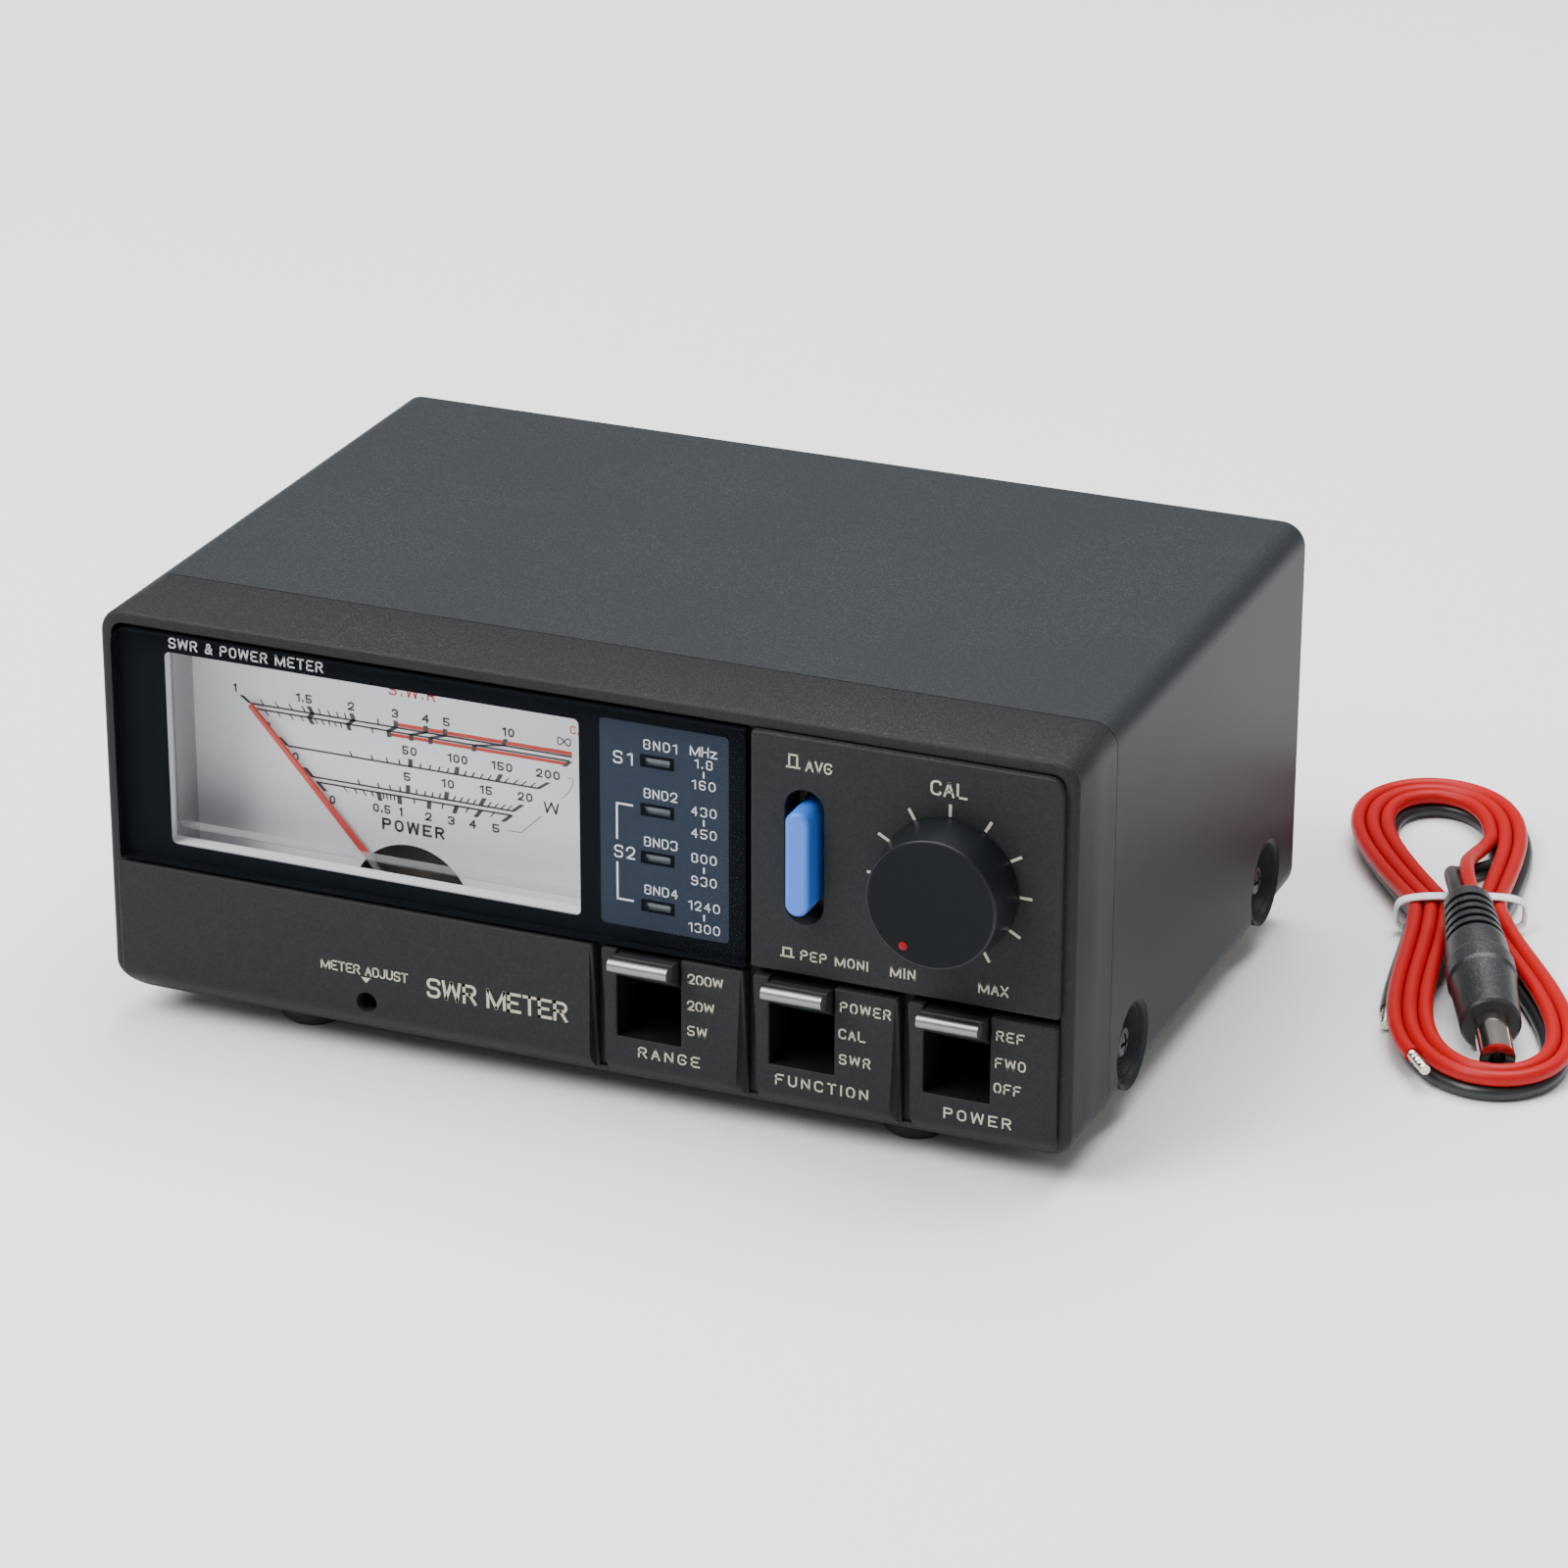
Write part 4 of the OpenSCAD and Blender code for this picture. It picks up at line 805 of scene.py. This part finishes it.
thin_w, thick_w = 0.26, 0.75
swr_upper, swr_lower, w200, w20, w5 = 44.05, 43.3, 38.05, 33.65, 32.9
bridges = [(-51.15, -50.46, 0.9), (-44.6, -43.6, 0.9), (-37.8, -36.55, 1.0), (-34.05, -31.6, 1.3),
           (-30.8, -28.45, 1.4), (-23.55, -18.85, 2.0)]
marks = [rods([(-61.0, swr_upper, -7.6, swr_upper, 0.3), (-60.3, swr_lower, -8.0, swr_lower, 0.3),
               (-54.9, w200, -13.0, w200, 0.3), (-51.1, w20, -17.2, w20, 0.3), (-50.2, w5, -17.6, w5, 0.3),
               (-18.2, 30.35, -16.1, 30.35, 0.1), (-16.1, 30.35, -12.8, 33.6, 0.1),
               (-9.4, 37.0, -8.2, 38.3, 0.1), (-8.2, 38.3, -7.55, 39.6, 0.1), (-7.55, 39.6, -7.5, 40.5, 0.1),
               (-7.5, 40.5, -8.4, 40.5, 0.1)]),
         scale_marks(swr_upper, 45.0, 45.15,
                     [(-58.73, -59.3), (-56.15, -56.85), (-53.85, -54.5), (-51.7, -52.3), (-49.1, -49.5),
                      (-47.5, -47.96), (-46.1, -46.5), (-44.85, -45.1), (-39.46, -39.6)],
                     [(-61.0, -62.5), (-50.46, -51.15), (-43.6, -43.96), (-36.55, -36.6), (-31.6, -31.6),
                      (-28.45, -28.4), (-18.85, -18.4)]),
         scale_marks(swr_lower, 42.5, 42.3,
                     [(-58.65, -57.96), (-56.46, -55.9), (-54.4, -53.8), (-52.6, -52.0), (-50.2, -49.7),
                      (-49.0, -48.6), (-47.9, -47.6), (-46.9, -46.5), (-45.9, -45.6), (-40.6, -40.45)],
                     [(-51.15, -50.5), (-44.6, -44.35), (-37.8, -37.7), (-34.05, -34.05), (-30.8, -30.9),
                      (-23.55, -23.75), (-7.9, -8.9)]),
         bars([(a, swr_lower, b, swr_upper, w) for a, b, w in bridges]),
         scale_marks(w200, 38.9, 39.3,
                     [(-44.04, -44.4), (-40.6, -40.85), (-38.1, -38.3), (-36.1, -36.15), (-32.65, -32.6),
                      (-31.1, -30.96), (-29.65, -29.4), (-28.2, -27.9), (-25.4, -25.0), (-24.1, -23.65),
                      (-22.8, -22.2), (-21.5, -20.9), (-18.8, -18.0), (-17.3, -16.5), (-16.0, -15.1),
                      (-14.5, -13.65)],
                     [(-54.9, -56.3), (-34.3, -34.3), (-26.7, -26.5), (-20.0, -19.3), (-13.2, -11.5)]),
         scale_marks(w20, 34.5, 34.95,
                     [(-42.9, -43.2), (-39.65, -39.85), (-37.7, -37.9), (-36.1, -36.15), (-33.35, -33.4),
                      (-32.0, -31.9), (-30.8, -30.65), (-29.6, -29.4), (-27.3, -26.9), (-26.2, -25.7),
                      (-25.1, -24.6), (-24.0, -23.5), (-21.6, -21.0), (-20.5, -19.8), (-19.4, -18.7),
                      (-18.4, -17.6)],
                     [(-50.9, -52.1), (-34.8, -34.8), (-28.5, -28.3), (-22.8, -22.1), (-17.4, -15.85)]),
         scale_marks(w5, 32.05, 31.6,
                     [(-45.7, -45.0), (-43.85, -43.35), (-42.4, -41.9), (-41.0, -40.6), (-39.0, -38.9),
                      (-38.4, -38.3), (-37.8, -37.7), (-37.15, -37.1), (-33.8, -33.8), (-29.0, -29.2),
                      (-24.8, -25.3), (-20.5, -21.2)],
                     [(-50.0, -48.7), (-39.8, -39.5), (-36.3, -36.2), (-31.3, -31.4), (-26.7, -27.2),
                      (-22.7, -23.65), (-17.7, -19.2)])]
numerals = [("1", -63.5, 46.2, 0.5), ("1.5", -51.9, 46.3, 2.7), ("2", -44.0, 46.3, 1.1),
            ("3", -36.65, 46.3, 1.1), ("4", -31.6, 46.3, 1.2), ("5", -28.15, 46.3, 1.1),
            ("10", -18.0, 46.3, 2.0), ("50", -34.4, 40.6, 2.4), ("100", -26.45, 40.6, 3.3),
            ("150", -19.15, 40.6, 3.45), ("200", -11.6, 40.6, 3.9), ("5", -34.9, 36.3, 1.1),
            ("10", -28.15, 36.3, 2.1), ("15", -21.85, 36.3, 2.05), ("20", -15.4, 36.3, 2.4),
            ("0.5", -39.3, 30.35, 2.95), ("1", -36.1, 30.35, 0.5), ("2", -31.5, 30.35, 1.1),
            ("3", -27.7, 30.35, 1.15), ("4", -24.15, 30.35, 1.2), ("5", -20.3, 30.35, 1.15),
            ("0", -58.2, 40.8, 1.0), ("0", -53.6, 36.5, 1.0), ("0", -47.6, 30.4, 1.0)]
marks += [letters(text, (x, z), 1.4, width, 0.2) for text, x, z, width in numerals]
marks += [letters("POWER", (-34.1, 27.95), 1.95, 10.4, 0.2), letters("W", (-11.1, 35.2), 1.85, 2.5, 0.16)]

# The last numeral is an endless loop: x goes as the sine of the turn, z as the sine times the cosine.
loop_x, loop_z, loop_half, loop_high, loop_pen = -8.9, 46.3, 1.05, 1.178, 0.2
turn = np.linspace(0, 2 * np.pi, 49)
endless = np.stack([loop_x + loop_half * np.sin(turn), loop_z + loop_high * np.sin(turn) * np.cos(turn)], -1)
marks.append(pen_strip(endless, loop_pen))
marks = [(flat + dial_shift, faces) for flat, faces in marks]
printed("dial_print_grey", marks, grey_y, dial_ink)
red_marks = [rods([(-36.4, 44.55, -7.6, 44.55, 0.6), (-37.7, 42.78, -8.3, 42.78, 0.55)]),
             letters("S.W.R", (-33.75, 50.1), 1.75, 7.8), letters("CAL", (-6.2, 48.4), 1.3, 3.4)]
red_marks = [(flat + dial_shift, faces) for flat, faces in red_marks]
printed("dial_print_red", red_marks, red_y, dial_red)

# Meter movement -------------------------------------------------------------------
# A moulded white case holds a moving-coil movement: a steel ring magnet and core, brass bridges with
# jewels, a copper coil between two hairsprings, and a folded aluminium pointer with a red end and three
# balance arms.
meter_white = finish_of("meter_white", (0.66, 0.67, 0.68), tone=(30, 0.06), grain=(1500, 0.03),
                        rough=(0.35, 0.1), bump=0.05)
movement_steel = finish_of("movement_steel", (0.085, 0.082, 0.085), group=lines, line=((1500, 1500, 40), 0.5),
                           rough=(0.38, 0.2), tarnish=0.7, metal=0.7)
brass = finish_of("brass", (0.58, 0.42, 0.16), group=lines, line=((40, 2500, 2500), 0.15), rough=(0.3, 0.2),
                  tarnish=0.35, metal=1.0)
copper_wire = finish_of("copper_wire", (0.42, 0.13, 0.05), group=lines, line=((60, 6500, 60), 0.8),
                        rough=(0.35, 0.2), tarnish=0.2, bump=0.6, height=1e-4, metal=0.6)
pointer_red = finish_of("pointer_red", (0.60, 0.06, 0.045), tone=(80, 0.05), rough=(0.45, 0.1), bump=0.02)
pointer_grey = finish_of("pointer_hub_metal", (0.3, 0.3, 0.31), group=lines, line=((3000, 3000, 60), 0.1),
                         rough=(0.35, 0.2), metal=0.8)
lamp_glass = finish_of("lamp_glass", (0.78, 0.75, 0.6), tone=(200, 0.1), rough=(0.1, 0.1), bump=0.02,
                       coat=0.6)
dress(meter_white, "meter_case")
dress(movement_steel, "magnet_yoke", "magnet_core")
dress(brass, "jewel_bridges", "hairsprings")
dress(copper_wire, "moving_coil")
dress(pointer_red, "pointer")
dress(pointer_grey, "pointer_hub")
dress(lamp_glass, "meter_lamps")

# The meter's own clear front has a moulded ledge round its edge. The light and shade of its clear edge are
# painted on half-clear grey sheets: a thin line round it and a greyer band along the bottom.
painted_ledge_line_ink = finish_of("painted_ledge_line_ink", (0.12, 0.125, 0.13), tone=(40, 0.1), rough=(0.3, 0.1), alpha=0.45)
painted_light_band_ink = finish_of("painted_light_band_ink", (0.34, 0.35, 0.36), tone=(25, 0.15), grain=(900, 0.1),
                       rough=(0.25, 0.1), alpha=0.4)
ledge_y, band_y, ledge_w = 4.2, 4.25, 0.16
lens_line = oblong(-67.9, -0.2, 26.9, 57.2, 1.2)
# Painted light and shade: the ledge's line and its bottom band are grey sheets, not the clear ledge itself.
printed("painted_light_line_on_lens", [flat_face([outline(lens_line), outline(lens_line, ledge_w)])], ledge_y, painted_ledge_line_ink)
printed("painted_light_band_on_lens", [flat_box(-67.7, -0.4, 27.1, 28.3)], band_y, painted_light_band_ink)

# Fine ribs down the case's left inside wall: a wave whose depth is the sine of the height, flat at both
# edges.
rib_x, rib_front, rib_back = -70.22, 5.9, dial_y - 0.1
rib_deep, rib_pitch, rib_slant, rib_step = 0.09, 0.42, 0.6, 0.05
rib_y, rib_z = np.meshgrid(np.linspace(rib_front, rib_back, 3), np.arange(18.0, 58.0, rib_step),
                           indexing="ij")
between = (rib_y > rib_front + 0.1) * (rib_y < rib_back - 0.1)
rib_wave = rib_deep * np.sin(rib_z * 2 * np.pi / rib_pitch + rib_y * rib_slant) * between
ribs = np.stack([rib_x + rib_wave, rib_y, rib_z], -1)
rib_grey = finish_of("rib_grey", (0.34, 0.35, 0.36), tone=(40, 0.1), rough=(0.45, 0.1), bump=0.05)
make_piece("case_ribs", [grid_part(placed(ribs), wrap=False)], "case", rib_grey, sharp=80)

# Zero adjuster: a slotted black nylon screw in the bezel, whose pin swings the front hairspring's steel fork.
nylon_black = finish_of("nylon_black", (0.02, 0.021, 0.023), tone=(60, 0.2), grain=(1800, 0.15),
                        rough=(0.45, 0.2), bump=0.15)
plated = finish_of("zinc_plate", (0.5, 0.49, 0.46), group=lines, line=((60, 1800, 1800), 0.12),
                   rough=(0.38, 0.2), tarnish=0.35, metal=0.9)
dress(nylon_black, "zero_adjuster")
dress(plated, "zero_arm")

# Calibration knob ------------------------------------------------------------------
# A pressed-on knob of glossy black ABS: a tapered smooth skirt, a crisp edge and a slightly hollow satin
# face with a red dot sunk in it. Its shaft turns in a potentiometer that is nutted to the bezel's wall.


def turned(profile, middle, sides=96):
    """A turned shape: each (radius, y) of the profile goes round the middle (x, z) as radius times cos and
    sin."""
    r, y = np.asarray(profile, float).T
    angle = np.linspace(0, 2 * np.pi, sides, endpoint=False)
    return np.stack([middle[0] + r[:, None] * np.cos(angle), np.broadcast_to(y[:, None], (len(r), sides)),
                     middle[1] + r[:, None] * np.sin(angle)], -1)


knob_gloss = finish_of("knob_gloss", (0.0075, 0.0088, 0.0105), tone=(30, 0.1), grain=(900, 0.05),
                       rough=(0.34, 0.06), bump=0.03, specular=0.2)
knob_satin = finish_of("knob_satin", (0.0055, 0.007, 0.0088), tone=(30, 0.15), grain=(1800, 0.3),
                       rough=(0.42, 0.1), bump=0.12, specular=0.07)
skirt_r, skirt_top, face_round, face_r, face_hollow = 9.85, -8.25, 0.35, 9.5, 0.16
bow = np.linspace(0, np.pi / 2, 6)
knob_side = [(3.2, -1.5), (10.3, -1.5), (10.55, -1.62), (10.6, -1.85), (10.5, -2.8), (skirt_r, -8.05)]
knob_side += [(skirt_r - face_round * (1 - math.cos(b)), skirt_top - face_round * math.sin(b)) for b in bow]
skirt = make_piece("knob_skirt", [grid_part(placed(turned(knob_side, knob_at)))], "cal_control",
                   knob_gloss, sharp=40)
dot_turn, dot_out = math.radians(-150), 8.0
dot_at = (knob_at[0] + dot_out * math.sin(dot_turn), knob_at[1] + dot_out * math.cos(dot_turn))


def face_y(x, z):
    """The knob's face: face_hollow deep at its middle, less by the square of the distance from it over
    face_r."""
    out = ((x - knob_at[0]) ** 2 + (z - knob_at[1]) ** 2) / face_r ** 2
    return skirt_top - face_round + face_hollow * (1 - out)


hollow = turned([(face_r * s, 0) for s in np.linspace(1, 0.003, 20)], knob_at)
hollow[..., 1] = face_y(hollow[..., 0], hollow[..., 2])
face = make_piece("knob_face", [grid_part(placed(hollow), caps=(False, True))], "cal_control",
                  knob_satin, sharp=60)
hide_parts("cal_knob")
dot_red = finish_of("dot_red", (0.22, 0.002, 0.003), tone=(300, 0.2), rough=(0.4, 0.1), bump=0.05,
                    specular=0.15)
dot_dome = [(0.68, -8.62), (0.66, -8.68), (0.5, -8.74), (0.25, -8.77), (0.01, -8.78)]
dot = make_piece("red_dot", [grid_part(placed(turned(dot_dome, dot_at, 24)), caps=(False, True))],
                 "cal_control", dot_red)
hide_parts("knob_dot")
dress(plated, "pot_shaft", "pot_body", "pot_nut")

# Averaging key ---------------------------------------------------------------------
# A bright blue latching push key, a rounded bar with a finger hollow down its front, in a black guide. The
# hollow is key_hollow deep at mid-height, less by the square of the height over key_tall.
key_blue = finish_of("key_blue", (0.03, 0.15, 0.62), tone=(40, 0.06), grain=(1600, 0.03), rough=(0.4, 0.1),
                     bump=0.04, shader={"Subsurface Weight": 0.1, "Subsurface Radius": (0.001, 0.001, 0.002),
                                        "Subsurface Scale": 0.4})
key_half, key_tall, key_front, key_round, key_hollow, key_long = 1.9, 8.1, -4.4, 0.8, 0.55, 10.4
key_line = oblong(slot_at[0] - key_half, slot_at[0] + key_half, slot_at[1] - key_tall, slot_at[1] + key_tall,
                  key_half)
bow = np.linspace(0, np.pi / 2, 7)
key_inset = np.concatenate([[1.8, 1.4, 1.0], key_round * (1 - np.sin(bow)), [0]])
key_depth = np.concatenate([[0, 0, 0], key_round * (1 - np.cos(bow)), [key_long]])
key_grid = []
for inset, depth in zip(key_inset, key_depth):
    ring = outline(key_line, inset, 10)
    hollow_y = key_hollow * (1 - ((ring[:, 1] - slot_at[1]) / key_tall) ** 2) * (depth < key_long)
    key_grid.append(np.stack([ring[:, 0], key_front + depth + hollow_y, ring[:, 1]], -1))
key_grid = np.array(key_grid)
middle_line = key_grid[0].copy()
middle_line[:, 0] = slot_at[0]
middle_line[:, 2] = slot_at[1] + (middle_line[:, 2] - slot_at[1]) * 0.999
key = make_piece("blue_key", [grid_part(placed(np.concatenate([middle_line[None], key_grid])))], "avg_key",
                 key_blue, sharp=50)
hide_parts("avg_button")
dress(nylon_black, "avg_guide", "avg_switch")

# Lever switches ---------------------------------------------------------------------
# Three black lever keys with bright lips. Each rocks on a steel pin in a moulded switch behind its window.
lever_black = finish_of("lever_black", (0.016, 0.0185, 0.021), tone=(40, 0.15), grain=(1800, 0.25),
                        rough=(0.42, 0.1), bump=0.12, dust_amount=0.1)
bright = finish_of("bright_trim", (0.22, 0.225, 0.235), group=lines, line=((15, 900, 900), 0.06),
                   rough=(0.38, 0.1), tarnish=0.06, metal=1.0)
screw_steel = finish_of("screw_steel", (0.56, 0.56, 0.55), group=lines, line=((1200, 1200, 1200), 0.15),
                        rough=(0.28, 0.2), tarnish=0.3, metal=1.0)
dress(lever_black, "range_lever", "function_lever", "power_lever")
dress(bright, "lever_lips_range", "lever_lips_function", "lever_lips_power")
dress(screw_steel, "lever_pins")
switch_black = finish_of("switch_black", (0.0035, 0.0038, 0.0045), tone=(60, 0.2), grain=(1800, 0.05),
                         rough=(0.75, 0.1), bump=0.1, specular=0.12)
dress(switch_black, "lever_switches")

# Each window's sides and sill are lined from its edge back to the switch. The liner is open at the top.
liner_gap, liner_open, liner_half, liner_top, liner_front, liner_back = 0.04, 21.5, 4.0, 22.0, -0.95, 6.0
liners = []
for x, window in zip(lever_x, windows):
    line = outline(window, liner_gap)
    line = line[(line[:, 1] < liner_open) | (np.abs(line[:, 0] - x) > liner_half)]
    line[:, 1] = np.minimum(line[:, 1], liner_top)
    open_line = np.roll(line, -int(np.argmax(line[:, 1] + (line[:, 0] < x))) - 1, 0)
    wall = np.stack([np.insert(open_line, 1, y, axis=1) for y in (liner_front, liner_back)])
    liners.append(grid_part(placed(wall), wrap=False, flip=True))
make_piece("window_liners", liners, "case", switch_black)

# Case --------------------------------------------------------------------------------
# A sheet-steel cover folded over the top and sides, painted dark green-grey, on a plated base with vents.
# Four cross-head screws sit in pressed dimples at the sides, and four rubber feet are screwed on below.
case_paint = finish_of("case_paint", (0.0235, 0.0265, 0.0295), tone=(8, 0.06), grain=(1500, 0.22),
                       rough=(0.44, 0.12), bump=0.22, height=4e-5, dust_amount=0.06,
                       specular=0.08)
rubber = finish_of("foot_rubber", (0.014, 0.014, 0.015), tone=(60, 0.3), grain=(1400, 0.3),
                   rough=(0.8, 0.1), bump=0.3)
dress(case_paint, "top_cover", "rear_panel")
dress(plated, "chassis_base", "sensor_boxes")
dress(rubber, "feet")
black_oxide = finish_of("black_oxide", (0.012, 0.0125, 0.014), tone=(300, 0.2), grain=(2500, 0.05),
                        rough=(0.4, 0.1), bump=0.1)
dress(black_oxide, "cover_screws", "bezel_screws")
dress(screw_steel, "foot_screws", "socket_screws")

# Circuits: green glass-fibre boards with black and brass parts, and the two line couplers with their toroid.
board_green = finish_of("board_green", (0.02, 0.11, 0.035), tone=(60, 0.2), grain=(2500, 0.3),
                        rough=(0.35, 0.1), bump=0.15, coat=0.3)
lamp_white = finish_of("lamp_white", (0.7, 0.7, 0.66), tone=(80, 0.06), rough=(0.35, 0.1), bump=0.04)
dress(board_green, "led_board", "control_board")
dress(nylon_black, "board_parts", "sensor_toroid")
dress(lamp_white, "led_bodies")
dress(brass, "sensor_lines", "socket_contacts")

# Sockets ------------------------------------------------------------------------------
# Two UHF and two N sockets in nickel-plated brass with white insulators, screwed to the rear panel, a DC
# inlet with a steel pin, and a slide switch that picks the band.
nickel = finish_of("nickel", (0.66, 0.65, 0.61), group=lines, line=((2500, 30, 2500), 0.08),
                   rough=(0.2, 0.15), tarnish=0.15, metal=1.0)
ptfe = finish_of("insulator_white", (0.8, 0.79, 0.74), tone=(60, 0.05), rough=(0.4, 0.1), bump=0.05)
dress(nickel, "uhf_sockets", "n_sockets")
dress(ptfe, "socket_insulators", "band_slider")
dress(nylon_black, "dc_jack", "band_switch")
dress(screw_steel, "dc_jack_pin")

low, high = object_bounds()
